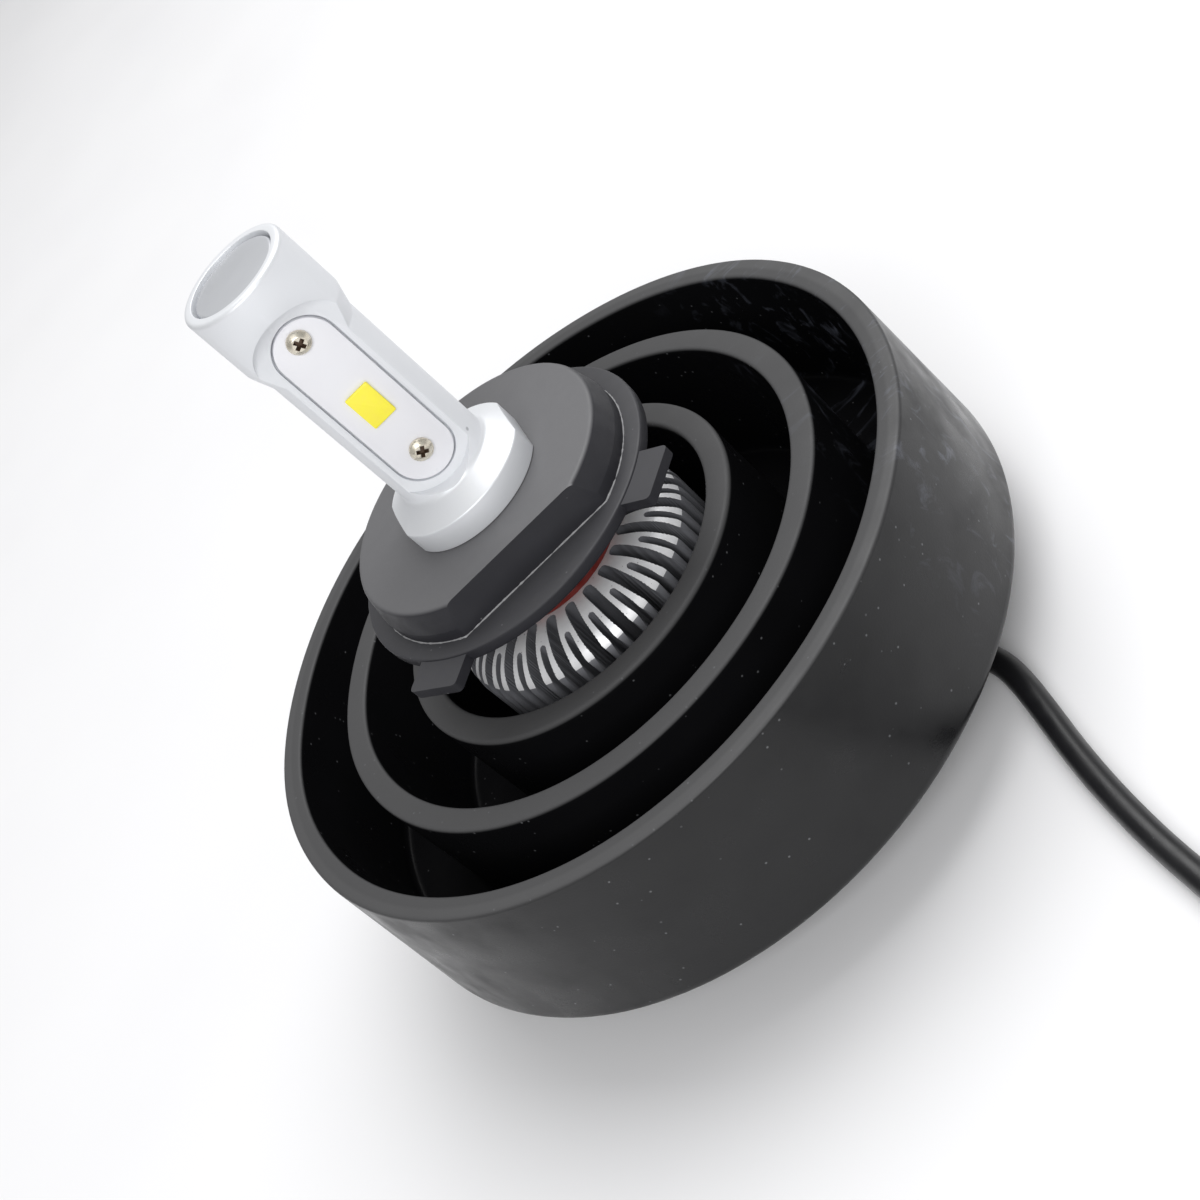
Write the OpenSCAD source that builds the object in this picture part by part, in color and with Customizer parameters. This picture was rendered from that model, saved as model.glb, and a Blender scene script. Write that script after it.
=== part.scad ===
// LED headlight bulb with its rubber dust cover, standing on its fan housing.
// Millimetres. +Z runs along the bulb's axis from the fan up to the lamp tip.
// The origin is the centre of the fan housing's rear face. The front LED board faces -Y.

/* [Fan housing] */
// Outside radius of the fan housing and of the heat sink's fins
body_r = 22; // [20:0.5:26]
// Height of the fan housing
housing_h = 14; // [13:0.5:20]
// Wall of the fan housing
housing_wall = 1.8; // [1.4:0.1:2.4]
// Number of screws that hold the fan housing to the heat sink
housing_screw_count = 3; // [3]
// Radius of the circle that the housing screws stand on
housing_screw_pitch_r = 19.6; // [19:0.1:20.5]

/* [Heat sink] */
// Height of the heat sink from its rear face to the hub's front face
sink_h = 31.4; // [28:0.2:44]
// Radius of the solid hub inside the fins
hub_r = 13; // [12:0.5:15]
// Number of forked fins
fin_count = 24; // [12, 24]
// Width of the gap between two fins
fin_gap = 1.85; // [1.4:0.05:2.4]
// Width of the slot that forks each fin
fork_gap = 1.05; // [0.7:0.05:1.4]
// Radius at which each fin forks
fork_r = 17.3; // [16:0.1:19]
// How far the turned front face falls from the hub to the fin tips
front_drop = 6.4; // [3:0.2:9]
// Radius of the driver cavity in the hub's rear
cavity_r = 9.6; // [9:0.1:10.5]
// Depth of the driver cavity
cavity_depth = 10; // [8:0.5:12]

/* [Adapter] */
// Thickness of the red silicone seal
seal_t = 3.2; // [2:0.2:5]
// Radius of the red silicone seal where it bulges out
seal_r = 12.9; // [12:0.1:14]
// Radius of the adapter's neck
neck_r = 12.4; // [11:0.1:14]
// Height of the adapter's neck
neck_h = 7; // [5:0.5:12]
// Radius of the round flange
flange_r = 26.6; // [25:0.1:28]
// Thickness of the flange
flange_t = 2; // [1.6:0.1:3]
// Radius of the seat at its foot
seat_foot_r = 23.6; // [22:0.1:24.5]
// Height of the straight land at the seat's foot
seat_land_h = 2; // [1:0.1:4]
// Radius of the seat at its top
seat_top_r = 22.7; // [21:0.1:23.6]
// Height of the seat above the flange
seat_h = 6.2; // [5:0.2:9]
// Distance of the seat's flat from the axis
seat_flat_d = 19.1; // [18:0.1:21]
// Reach of the locking tabs from the axis
tab_reach = 31.4; // [30:0.1:33]
// Width of a locking tab
tab_w = 9.4; // [7:0.2:12]

/* [Mast] */
// Radius of the mast's post
post_r = 7.9; // [7:0.1:9]
// Radius of the mast's head
head_r = 9; // [8.4:0.1:10]
// Height of the mast above the adapter's seat
mast_h = 48.9; // [44:0.5:60]
// Height of the mast's head
head_h = 11.6; // [10:0.2:14]
// Radius of the mast's spigot below the seat
spigot_r = 8; // [7:0.1:8.4]
// Radius of the mast's foot
foot_r = 12; // [10.5:0.1:13]
// Distance of the foot's two side flats from the axis
foot_flat_d = 11; // [9:0.1:12]
// Height of the foot's straight ring
foot_ring_h = 4.1; // [1:0.1:4.6]
// Height of the mast's foot and its flare
foot_h = 6.4; // [5:0.2:8]
// Height of the lamp's light centre above the adapter's seat
light_h = 24.2; // [20:0.2:28]
// Distance of the milled flats from the axis
flat_d = 5.2; // [4.8:0.1:6]
// Radius of the tip cap
cap_r = 7.1; // [6:0.1:7.6]

/* [LED boards] */
// Width of an LED board
board_w = 9.4; // [8:0.2:10]
// Length of an LED board
board_len = 32.3; // [28:0.1:36]
// Thickness of an LED board
board_t = 1.2; // [0.8:0.1:1.6]
// Distance between the two board screws
board_screw_pitch = 24.5; // [20:0.1:27]
// Width of the LED's yellow face
chip_w = 4.1; // [3:0.1:5]
// Height of the LED's yellow face
chip_h = 6.2; // [4:0.1:8]

/* [Fan] */
// Radius of the blade tips
blade_tip_r = 16.6; // [15:0.1:17]
// Number of blades
blade_count = 9; // [5:1:11]
// Radius of the rotor's hub
rotor_hub_r = 8.6; // [8.4:0.1:9.5]
// Height of the rotor
rotor_h = 7; // [6:0.2:7.4]
// Radius of the fan's shaft
shaft_r = 0.75; // [0.6:0.05:1]

/* [Dust cover] */
// Outside radius of the cover at its front rim
cover_rim_r = 60; // [55:0.5:66]
// Outside radius of the cover at its back
cover_back_r = 61.4; // [56:0.2:68]
// Depth of the cover
cover_depth = 30; // [24:1:38]
// Height of the cover's back above the fan housing's rear face
cover_lift = 12; // [11:0.5:16]
// Wall of the cover's outer ring
outer_wall = 3.9; // [2.5:0.1:5]
// Outside radius of the middle ring
mid_ring_r = 45.9; // [43:0.1:48]
// Wall of the middle ring
mid_wall = 4.2; // [3:0.1:5]
// Outside radius of the collar round the heat sink
collar_r = 31.2; // [30:0.1:33]
// Wall of the collar
collar_wall = 4.4; // [3:0.1:5]
// Thickness of the cover's back
back_t = 3.2; // [2.4:0.1:4]
// Height of the lip that grips the heat sink
lip_h = 4; // [3:0.1:6]

/* [Cable] */
// Diameter of the cable
cable_d = 4; // [4]
// Height of the cable outlet above the rear face
outlet_z = 4.6; // [4.4:0.1:5]
// Length of the tapered boot outside the housing
boot_len = 9; // [9]

/* [Fits] */
// Radial clearance of a shaft or sliding lip
running = 0.04; // [0.01:0.01:0.09]
// Gap between a part and the seat that it is glued or pressed into
seat_gap = 0.1; // [0.05:0.05:0.2]
// Dark gap round an LED board and round the tip cap
show_gap = 0.35; // [0.2:0.05:0.5]

/* [Hidden] */
$fn = 96;
eps = 0.01;

// heights along the axis, from the rear face upwards
sink_z = housing_h;
hub_top_z = sink_z + sink_h;
neck_z = hub_top_z + seal_t;
flange_z = neck_z + neck_h;
seat_z = flange_z + flange_t;
seat_top_z = seat_z + seat_h;
mast_top_z = seat_top_z + mast_h;
spigot_depth = 11.4;
spigot_z = hub_top_z - spigot_depth;
head_z = mast_top_z - head_h;
neck_cone_h = 3.6;

// the boards' places on the mast
board_mid_z = seat_top_z + light_h;
board_proud = 0.1;
recess_depth = board_t - board_proud;
board_face_d = flat_d + board_proud;
screw_mid_z = board_mid_z + 1;
chip_t = 0.6;
chip_mid_z = board_mid_z - 0.8;
m2_r = 1;
m2_core_r = 0.8;
m2_head_r = 1.8;
m2_head_h = 1.1;
m2_len = 4.4;
cap_t = 2;
cap_stem_r = 2.5;
cap_stem_len = 4;
bolt_r = 2;
bolt_grip = 8;
bolt_head_r = 3.5;
bolt_head_h = 4;
tab_angles = [-135, -45, 90];
tab_drop = 0.3;

// the milled flat is a stadium that opens past the post on both sides
flat_half_w = 7.5;
flat_margin = 3.2;
flat_low_z = seat_top_z + foot_h;
flat_high_z = board_mid_z + board_len / 2 + flat_margin;

// the driver board hangs in the hub's cavity, and two leads come up to it
driver_t = 1.2;
driver_gap = 0.3;
driver_z = sink_z + cavity_depth - 2.6;
lead_d = 1.1;
lead_x = 2;
lead_y = -7;

// the fan, from the rear upwards
floor_t = housing_wall;
fan_base_z = floor_t;
fan_ring_wall = 0.7;
blade_gap = 0.4;
fan_ring_r = blade_tip_r + blade_gap + fan_ring_wall;
fan_ring_h = 9.7;
fan_plate_t = 0.9;
bearing_r = 1.9;
bearing_lift = 0.5;
bearing_tube_r = 2.6;
rotor_z = fan_base_z + 1.7;
rotor_wall = 0.7;
magnet_t = 1;
air_gap = 0.5;
stator_r = rotor_hub_r - rotor_wall - magnet_t - air_gap;
blade_pitch = 34;
spoke_turn = 7.5;

// one fin and one gap take this angle, and the housing's screws stand in such gaps
fin_pitch = 360 / fin_count;
housing_screw_angles =
    [for (i = [0:housing_screw_count - 1]) 2.5 * fin_pitch + i * 360 / housing_screw_count];
housing_screw_r = 1;
housing_screw_head_r = 1.5;
housing_screw_recess = 2;
housing_screw_grip = 6.4;

// the cover
ring_plane_z = cover_lift + cover_depth;
lip_r = body_r + running + 0.01;
rim_chamfer = 0.5;
cover_corner = 1.6;
collar_rise = 0.4;

// the cable leaves the housing at this angle about the axis
outlet_angle = -40;
boot_root_r = 3;
boot_tip_r = 2.5;
outlet_neck_r = 2.35;
boot_collar_r = 3.4;
boot_collar_h = 1.2;
outlet_fit = 0.05;
boot_catch_r = outlet_z - floor_t - outlet_fit;

// centres of the cable between the boot and the coil
RUN_ROUTE = [
    [23.8, -19.9, 4.6], [26.1, -21.9, 4.4], [28.9, -24.2, 3.8], [31.5, -26.7, 3.1],
    [33.9, -29.5, 2.5], [35.9, -32.7, 2.1], [37.3, -36.2, 2], [38.1, -40, 2], [38.2, -45, 2],
    [37.9, -50, 2], [37.5, -55, 2], [37.1, -60, 2], [36.8, -66, 2], [36.7, -72, 2], [36.8, -78, 2],
    [37.1, -84, 2], [37.6, -90, 2], [38.1, -96, 2], [38.4, -102, 2], [38.5, -107, 2],
    [38.5, -112, 2]
];
// the coil is one round turn that winds inwards by a cable's width
coil_centre = [63, -112];
coil_outer_r = 24.5;
coil_inner_r = 20.2;
// centres of the cable from the end of the coil, over its first turn, to the plug
TAIL_ROUTE = [
    [42.8, -112, 4.5], [42.8, -116, 5.6], [42.8, -120, 6.2], [42.8, -124, 6.4],
    [42.8, -128, 6.4], [42.8, -132, 6.1], [42.8, -136, 5.7], [42.8, -140, 5.5]
];

// the plug lies on its broad side past the coil
plug_x = TAIL_ROUTE[len(TAIL_ROUTE) - 1][0];
plug_back_y = TAIL_ROUTE[len(TAIL_ROUTE) - 1][1];
plug_z = TAIL_ROUTE[len(TAIL_ROUTE) - 1][2];
plug_w = 14;
plug_h = 2 * plug_z;
plug_len = 22;
plug_wall = 1.4;
plug_cavity_len = 13;
blade_w = 2.8;
blade_thick = 0.8;
blade_spacing = 5;
blade_root = 2;
blade_len = 17;
latch_back = 11;
latch_len = 5;
latch_w = 4.4;
latch_h = 1.4;
gasket_len = 1.4;
gasket_wall = 1;

// ---- shared shapes ----

// A plate with round ends that stands on edge at y = 0 and grows towards -Y.
module stadium_plate(w, length, t) {
    r = w / 2;
    half = length / 2 - r;
    rotate([90, 0, 0]) {
        translate([-r, -half, 0]) cube([w, 2 * half, t]);
        for (side = [-1, 1]) translate([0, side * half, 0]) cylinder(r = r, h = t);
    }
}

// Places children on the front face and, turned half round, on the rear face.
module both_faces() {
    for (turn = [0, 180]) rotate([0, 0, turn]) children();
}

// A pan head screw that points up, with the top of its shank at z = 0 and its head below.
module screw(shank_r, head_r, shank_len, head_h) {
    cylinder(r = shank_r, h = shank_len);
    translate([0, 0, -head_h]) cylinder(r1 = head_r * 0.8, r2 = head_r, h = head_h * 0.4);
    translate([0, 0, -head_h * 0.6]) cylinder(r = head_r, h = head_h * 0.6);
}

// Points of a quarter arc from one angle to another.
function arc(centre, r, from, to, steps = 8) =
    [for (i = [0:steps]) let (a = from + (to - from) * i / steps)
        [centre[0] + r * cos(a), centre[1] + r * sin(a)]];

function unit(v) = v / norm(v);

// The direction of a route at one of its points.
function heading(route, i) =
    unit(route[min(i + 1, len(route) - 1)] - route[max(i - 1, 0)]);

// One ring of a swept tube, square to the route; the route never runs along the lean vector.
function ring(route, i, r, sides, lean) =
    let (t = heading(route, i), side = unit(cross(t, lean)), up = cross(side, t))
    [for (k = [0:sides - 1]) let (a = 360 * k / sides)
        route[i] + r * (cos(a) * side + sin(a) * up)];

// A round cable swept along a route as one closed solid.
module swept_cable(route, d, sides = 10, lean = [0, 0, 1]) {
    rings = len(route);
    points = [for (i = [0:rings - 1]) each ring(route, i, d / 2, sides, lean)];
    walls = [for (i = [0:rings - 2], k = [0:sides - 1]) let (n = (k + 1) % sides)
        [i * sides + k, i * sides + n, (i + 1) * sides + n, (i + 1) * sides + k]];
    first = [for (k = [sides - 1:-1:0]) k];
    last = [for (k = [0:sides - 1]) (rings - 1) * sides + k];
    polyhedron(points = points, faces = concat(walls, [first], [last]), convexity = 6);
}

// ---- mast ----

module mast_body() {
    edge = 0.6;
    foot_edge = 0.3;
    ring_top_z = seat_top_z + foot_ring_h;
    difference() {
        rotate_extrude() polygon(concat(
            [[0, spigot_z], [spigot_r - edge, spigot_z], [spigot_r, spigot_z + edge],
                [spigot_r, seat_top_z], [foot_r, seat_top_z], [foot_r, ring_top_z],
                [foot_r - foot_edge, ring_top_z + foot_edge], [post_r, seat_top_z + foot_h],
                [post_r, head_z - neck_cone_h], [head_r, head_z]],
            arc([head_r - edge, mast_top_z - edge], edge, 0, 90),
            [[0, mast_top_z]]
        ));
        for (side = [0, 180]) rotate([0, 0, side]) translate([foot_flat_d, -foot_r, seat_top_z - 1])
            cube([foot_r, 2 * foot_r, foot_h + 1]);
    }
}

// The milled flat and the board's recess on the front of the mast.
module flat_cut() {
    cut = head_r + 1 - flat_d;
    translate([0, -flat_d, (flat_low_z + flat_high_z) / 2])
        stadium_plate(2 * flat_half_w, flat_high_z - flat_low_z, cut);
    translate([0, -flat_d + recess_depth, board_mid_z])
        stadium_plate(board_w + 2 * show_gap, board_len + 2 * show_gap, cut);
}

module board_screw_places() {
    for (side = [-1, 1])
        translate([0, -board_face_d, screw_mid_z + side * board_screw_pitch / 2])
            rotate([-90, 0, 0]) children();
}

module lamp_mast() {
    socket_h = 9;
    color("whitesmoke") difference() {
        mast_body();
        both_faces() flat_cut();
        both_faces() board_screw_places() cylinder(r = m2_core_r, h = m2_len + 0.2);
        translate([0, 0, mast_top_z - cap_t]) cylinder(r = cap_r + show_gap, h = cap_t + eps);
        translate([0, 0, mast_top_z - cap_t - cap_stem_len])
            cylinder(r = cap_stem_r, h = cap_stem_len + eps);
        translate([0, 0, spigot_z - eps]) cylinder(r = bolt_r, h = socket_h);
    }
}

module tip_cap() {
    inset = 0.4;
    edge = 0.3;
    stem_end = 0.4;
    color("silver") {
        translate([0, 0, mast_top_z - cap_t]) cylinder(r = cap_r, h = cap_t - inset - edge);
        translate([0, 0, mast_top_z - inset - edge]) cylinder(r1 = cap_r, r2 = cap_r - edge, h = edge);
        translate([0, 0, mast_top_z - cap_t - cap_stem_len + stem_end])
            cylinder(r = cap_stem_r - 0.05, h = cap_stem_len - stem_end + 0.1);
    }
}

module led_board() {
    color("white") difference() {
        translate([0, -flat_d + recess_depth, board_mid_z]) stadium_plate(board_w, board_len, board_t);
        board_screw_places() translate([0, 0, -1]) cylinder(r = m2_r + seat_gap, h = board_t + 2);
    }
}

module led_board_front() led_board();
module led_board_rear() rotate([0, 0, 180]) led_board();

module led_chip() {
    color("khaki") translate([-chip_w / 2, -board_face_d - chip_t, chip_mid_z - chip_h / 2])
        cube([chip_w, chip_t, chip_h]);
}

module led_chip_front() led_chip();
module led_chip_rear() rotate([0, 0, 180]) led_chip();

module board_screws() {
    color("lightgray") both_faces() board_screw_places()
        screw(m2_core_r, m2_head_r, m2_len, m2_head_h);
}

module mast_bolt() {
    low = sink_z + cavity_depth;
    hex_r = 1.7;
    hex_depth = 2.1;
    color("dimgray") {
        difference() {
            translate([0, 0, low + 0.1]) cylinder(r = bolt_head_r, h = bolt_head_h - 0.1);
            translate([0, 0, low]) cylinder(r = hex_r, h = hex_depth + 0.1, $fn = 6);
        }
        translate([0, 0, low + bolt_head_h - eps])
            cylinder(r = bolt_r - 0.02, h = spigot_z + bolt_grip - low - bolt_head_h);
    }
}

// ---- adapter ----

module seat_block() {
    edge = 0.5;
    rotate_extrude() polygon(concat(
        [[0, seat_z - eps], [seat_foot_r, seat_z - eps], [seat_foot_r, seat_z + seat_land_h]],
        arc([seat_top_r - edge, seat_top_z - edge], edge, 8, 90, 5),
        [[0, seat_top_z]]
    ));
}

module base_adapter() {
    color("dimgray") difference() {
        union() {
            difference() {
                seat_block();
                translate([-body_r * 2, -seat_flat_d - body_r, seat_z])
                    cube([body_r * 4, body_r, seat_h + 1]);
            }
            translate([0, 0, flange_z]) cylinder(r = flange_r, h = flange_t);
            for (a = tab_angles) rotate([0, 0, a]) translate([hub_r, -tab_w / 2, flange_z])
                cube([tab_reach - hub_r, tab_w, flange_t - tab_drop]);
            translate([0, 0, neck_z]) cylinder(r = neck_r, h = neck_h + eps);
        }
        translate([0, 0, neck_z - 1]) cylinder(r = spigot_r + seat_gap, h = seat_top_z - neck_z + 2);
    }
}

module red_seal() {
    bulge = 0.5;
    color("firebrick") rotate_extrude() polygon(concat(
        [[spigot_r + seat_gap, hub_top_z], [seal_r - bulge, hub_top_z]],
        [for (i = [1:9]) let (a = -90 + 18 * i)
            [seal_r - bulge + bulge * cos(a), hub_top_z + seal_t / 2 * (1 + sin(a))]],
        [[seal_r - bulge, neck_z], [spigot_r + seat_gap, neck_z]]
    ));
}

// ---- heat sink ----

// The turned outline: a flat hub whose front falls in a dome to the fin tips.
module sink_outline() {
    rotate_extrude() polygon(concat(
        [[0, sink_z], [body_r, sink_z], [body_r, hub_top_z - front_drop]],
        [for (i = [1:11]) let (a = 90 * i / 12)
            [hub_r + (body_r - hub_r) * cos(a), hub_top_z - front_drop * (1 - sin(a))]],
        [[hub_r, hub_top_z], [0, hub_top_z]]
    ));
}

// One slot with a round root that runs out past the fins.
module slot_2d(root_r, w) {
    translate([root_r + w / 2, 0]) circle(d = w);
    translate([root_r + w / 2, -w / 2]) square([body_r + 2 - root_r, w]);
}

module fin_plan() {
    difference() {
        circle(r = body_r + 1);
        for (i = [0:fin_count - 1]) {
            rotate((i + 0.5) * fin_pitch) slot_2d(hub_r, fin_gap);
            rotate(i * fin_pitch) slot_2d(fork_r, fork_gap);
        }
    }
}

module heat_sink() {
    color("gray") difference() {
        intersection() {
            sink_outline();
            translate([0, 0, sink_z - 1])
                linear_extrude(height = sink_h + 2, convexity = 10) fin_plan();
        }
        translate([0, 0, spigot_z]) cylinder(r = spigot_r + 0.02, h = spigot_depth + 1);
        translate([0, 0, sink_z - 1]) cylinder(r = cavity_r, h = cavity_depth + 1);
        translate([0, 0, sink_z]) cylinder(r = bolt_head_r + seat_gap, h = cavity_depth + bolt_head_h);
        translate([0, 0, sink_z]) cylinder(r = bolt_r + seat_gap, h = sink_h - 1);
        housing_screw_places() translate([0, 0, sink_z - 1])
            cylinder(r = housing_screw_r + 0.02, h = housing_screw_grip + 1.6);
    }
}

module driver_board() {
    color("darkgreen") difference() {
        translate([0, 0, driver_z]) cylinder(r = cavity_r - driver_gap, h = driver_t);
        for (side = [-1, 1]) translate([side * lead_x, lead_y, sink_z])
            cylinder(r = lead_d / 2 + 0.15, h = cavity_depth);
    }
}

module driver_parts() {
    // each part's corner and its size
    coil = [[0.6, 0.4], [6.4, 5.4, 4]];
    chip = [[-3.4, -4.8], [4.8, 3.9, 1.6]];
    diode = [[3.6, -5], [2.6, 3.6, 2.2]];
    capacitor_at = [-5, 2.4];
    capacitor_r = 2.9;
    capacitor_h = 5.6;
    color("darkslategray") {
        translate([capacitor_at[0], capacitor_at[1], driver_z - capacitor_h])
            cylinder(r = capacitor_r, h = capacitor_h);
        for (part = [coil, chip, diode])
            translate([part[0][0], part[0][1], driver_z - part[1][2]]) cube(part[1]);
    }
}

// ---- fan housing and fan ----

module housing_screw_places() {
    for (a = housing_screw_angles) rotate([0, 0, a]) translate([housing_screw_pitch_r, 0, 0]) children();
}

// Ring slots in the housing's floor, parted by spokes.
module grille_slots() {
    spoke_w = 1.3;
    slot_w = 1.9;
    slot_radii = [9.4, 12.2, 15];
    difference() {
        for (r = slot_radii) difference() {
            cylinder(r = r + slot_w, h = floor_t + 2);
            cylinder(r = r, h = floor_t + 2);
        }
        for (i = [0:5]) rotate([0, 0, i * 60 + spoke_turn])
            translate([slot_radii[0] - 1, -spoke_w / 2, -1])
                cube([slot_radii[2] + slot_w + 2 - slot_radii[0], spoke_w, floor_t + 4]);
    }
}

module outlet_place() {
    rotate([0, 0, outlet_angle]) translate([0, 0, outlet_z]) rotate([0, 90, 0]) children();
}

module fan_housing() {
    edge = 0.7;
    post_wall = 0.7;
    post_bite = 0.5;
    post_drop = 0.3;
    color("black") difference() {
        union() {
            difference() {
                rotate_extrude() polygon(concat(
                    [[0, 0]],
                    arc([body_r - edge, edge], edge, -90, 0, 6),
                    [[body_r, housing_h], [0, housing_h]]
                ));
                translate([0, 0, floor_t]) cylinder(r = body_r - housing_wall, h = housing_h);
            }
            intersection() {
                housing_screw_places() translate([0, 0, floor_t / 2])
                    cylinder(r = housing_screw_head_r + post_wall,
                        h = housing_h - floor_t / 2 - post_drop);
                difference() {
                    cylinder(r = body_r - post_bite, h = housing_h);
                    translate([0, 0, -1]) cylinder(r = fan_ring_r + seat_gap, h = housing_h + 2);
                }
            }
        }
        translate([0, 0, -1]) grille_slots();
        housing_screw_places() {
            translate([0, 0, -1]) cylinder(r = housing_screw_r + seat_gap, h = housing_h + 2);
            translate([0, 0, -1])
                cylinder(r = housing_screw_head_r + seat_gap, h = housing_screw_recess + 1);
        }
        outlet_place() cylinder(r = outlet_neck_r + outlet_fit, h = body_r + 2);
    }
}

module housing_screws() {
    color("silver") housing_screw_places() translate([0, 0, housing_screw_recess])
        screw(housing_screw_r, housing_screw_head_r,
            housing_h - housing_screw_recess + housing_screw_grip, 1.3);
}

module fan_base() {
    spoke_w = 1.6;
    spoke_from = 5;
    tube_h = rotor_h - 0.6;
    color("black") difference() {
        translate([0, 0, fan_base_z]) {
            difference() {
                cylinder(r = fan_ring_r, h = fan_ring_h);
                translate([0, 0, -1]) cylinder(r = fan_ring_r - fan_ring_wall, h = fan_ring_h + 2);
            }
            cylinder(r = rotor_hub_r - 0.2, h = fan_plate_t);
            for (i = [0:2]) rotate([0, 0, i * 120 + spoke_turn])
                translate([spoke_from, -spoke_w / 2, 0])
                    cube([fan_ring_r - fan_ring_wall / 2 - spoke_from, spoke_w, fan_plate_t]);
            cylinder(r = bearing_tube_r, h = tube_h);
        }
        translate([0, 0, fan_base_z + bearing_lift]) cylinder(r = bearing_r, h = rotor_h);
    }
}

module fan_bearing() {
    length = rotor_h - 1.4;
    color("goldenrod") translate([0, 0, fan_base_z + bearing_lift]) difference() {
        cylinder(r = bearing_r - 0.01, h = length);
        translate([0, 0, -1]) cylinder(r = shaft_r + running / 2, h = rotor_h + 2);
    }
}

module fan_stator() {
    pole_w = 2.6;
    shoe_w = 5.2;
    shoe_t = 0.9;
    core_t = 1.1;
    stack_h = 3.6;
    color("peru") translate([0, 0, fan_base_z + 1.6]) difference() {
        union() {
            cylinder(r = bearing_tube_r + core_t, h = stack_h);
            intersection() {
                for (a = [0, 90]) rotate([0, 0, a])
                    translate([-stator_r, -pole_w / 2, 0]) cube([2 * stator_r, pole_w, stack_h]);
                cylinder(r = stator_r, h = stack_h);
            }
            intersection() {
                difference() {
                    cylinder(r = stator_r, h = stack_h);
                    translate([0, 0, -1]) cylinder(r = stator_r - shoe_t, h = stack_h + 2);
                }
                for (a = [0, 90]) rotate([0, 0, a])
                    translate([-stator_r, -shoe_w / 2, 0]) cube([2 * stator_r, shoe_w, stack_h]);
            }
        }
        translate([0, 0, -1]) cylinder(r = bearing_tube_r + 0.02, h = stack_h + 2);
    }
}

module fan_blade() {
    blade_t = 0.8;
    reach = blade_tip_r - rotor_hub_r + 3;
    depth = (rotor_h - 1) / cos(blade_pitch);
    translate([rotor_hub_r - 1.4, 0, rotor_h / 2]) rotate([blade_pitch, 0, 0])
        translate([0, -blade_t / 2, -depth / 2]) cube([reach, blade_t, depth]);
}

module fan_rotor() {
    top_t = 0.9;
    color("dimgray") translate([0, 0, rotor_z]) {
        difference() {
            cylinder(r = rotor_hub_r, h = rotor_h);
            translate([0, 0, -1]) cylinder(r = rotor_hub_r - rotor_wall, h = rotor_h + 1 - top_t);
            translate([0, 0, -1]) cylinder(r = shaft_r, h = rotor_h + 2);
        }
        intersection() {
            for (i = [0:blade_count - 1]) rotate([0, 0, i * 360 / blade_count]) fan_blade();
            translate([0, 0, 0.3]) difference() {
                cylinder(r = blade_tip_r, h = rotor_h - 0.6);
                translate([0, 0, -1]) cylinder(r = rotor_hub_r - 0.3, h = rotor_h + 2);
            }
        }
    }
}

module fan_magnet() {
    color("slategray") translate([0, 0, rotor_z + 0.4]) difference() {
        cylinder(r = rotor_hub_r - rotor_wall, h = rotor_h - 2.2);
        translate([0, 0, -1]) cylinder(r = rotor_hub_r - rotor_wall - magnet_t, h = rotor_h);
    }
}

module fan_shaft() {
    low = fan_base_z + 0.7;
    color("lightgray") translate([0, 0, low]) cylinder(r = shaft_r, h = rotor_z + rotor_h - low);
}

// Centres of one inner lead: up beside the fan, in over it, and up to the driver board.
function lead_route(side) = let (
        a = outlet_angle + side * 12,
        rise_r = body_r - housing_wall - 1.2,
        over_z = housing_h - 1.2,
        foot = [rise_r * cos(a), rise_r * sin(a), 0],
        end = [side * lead_x, lead_y, 0],
        way = unit(end - foot)
    ) [
        foot + [0, 0, outlet_z], foot + [0, 0, over_z - 1.6], foot + 0.5 * way + [0, 0, over_z - 0.5],
        foot + 1.6 * way + [0, 0, over_z], end - 1.6 * way + [0, 0, over_z],
        end - 0.5 * way + [0, 0, over_z + 0.5], end + [0, 0, over_z + 1.6],
        end + [0, 0, driver_z + 1]
    ];

module inner_leads() {
    color("firebrick") for (side = [-1, 1]) {
        route = lead_route(side);
        across = route[4] - route[3];
        swept_cable(route, lead_d, 8, cross(across, [0, 0, 1]));
    }
}

// ---- cable outlet ----

module cable_boot() {
    root = body_r + 0.1;
    catch_from = fan_ring_r + 0.5;
    catch_len = body_r - housing_wall - fan_ring_r - 0.9;
    color("black") outlet_place() {
        translate([0, 0, catch_from]) cylinder(r = boot_catch_r, h = catch_len);
        translate([0, 0, catch_from + 1]) cylinder(r = outlet_neck_r, h = root + 0.5 - catch_from);
        translate([0, 0, root]) cylinder(r = boot_collar_r, h = boot_collar_h);
        translate([0, 0, root + 1]) cylinder(r1 = boot_root_r, r2 = boot_tip_r, h = boot_len - 1.1);
    }
}

// ---- dust cover ----

// Outline of one upright ring wall with a chamfered rim.
module ring_wall_2d(outer, wall, low, high) {
    polygon([
        [outer - wall, low], [outer, low], [outer, high - rim_chamfer],
        [outer - rim_chamfer, high], [outer - wall + rim_chamfer, high],
        [outer - wall, high - rim_chamfer]
    ]);
}

module dust_cover() {
    inner_corner = 0.6;
    color("black") rotate_extrude() {
        polygon(concat(
            [[lip_r, cover_lift]],
            arc([cover_back_r - cover_corner, cover_lift + cover_corner], cover_corner, -90, 0, 6),
            [[cover_rim_r, ring_plane_z - rim_chamfer], [cover_rim_r - rim_chamfer, ring_plane_z],
                [cover_rim_r - outer_wall + rim_chamfer, ring_plane_z],
                [cover_rim_r - outer_wall, ring_plane_z - rim_chamfer],
                [cover_back_r - outer_wall - inner_corner, cover_lift + back_t],
                [lip_r, cover_lift + back_t]]
        ));
        ring_wall_2d(mid_ring_r, mid_wall, cover_lift + 1, ring_plane_z);
        ring_wall_2d(collar_r, collar_wall, cover_lift + 1, ring_plane_z + collar_rise);
        translate([lip_r, cover_lift]) square([collar_r - collar_wall - lip_r + 1, lip_h]);
    }
}

// ---- cable and plug ----

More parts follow.
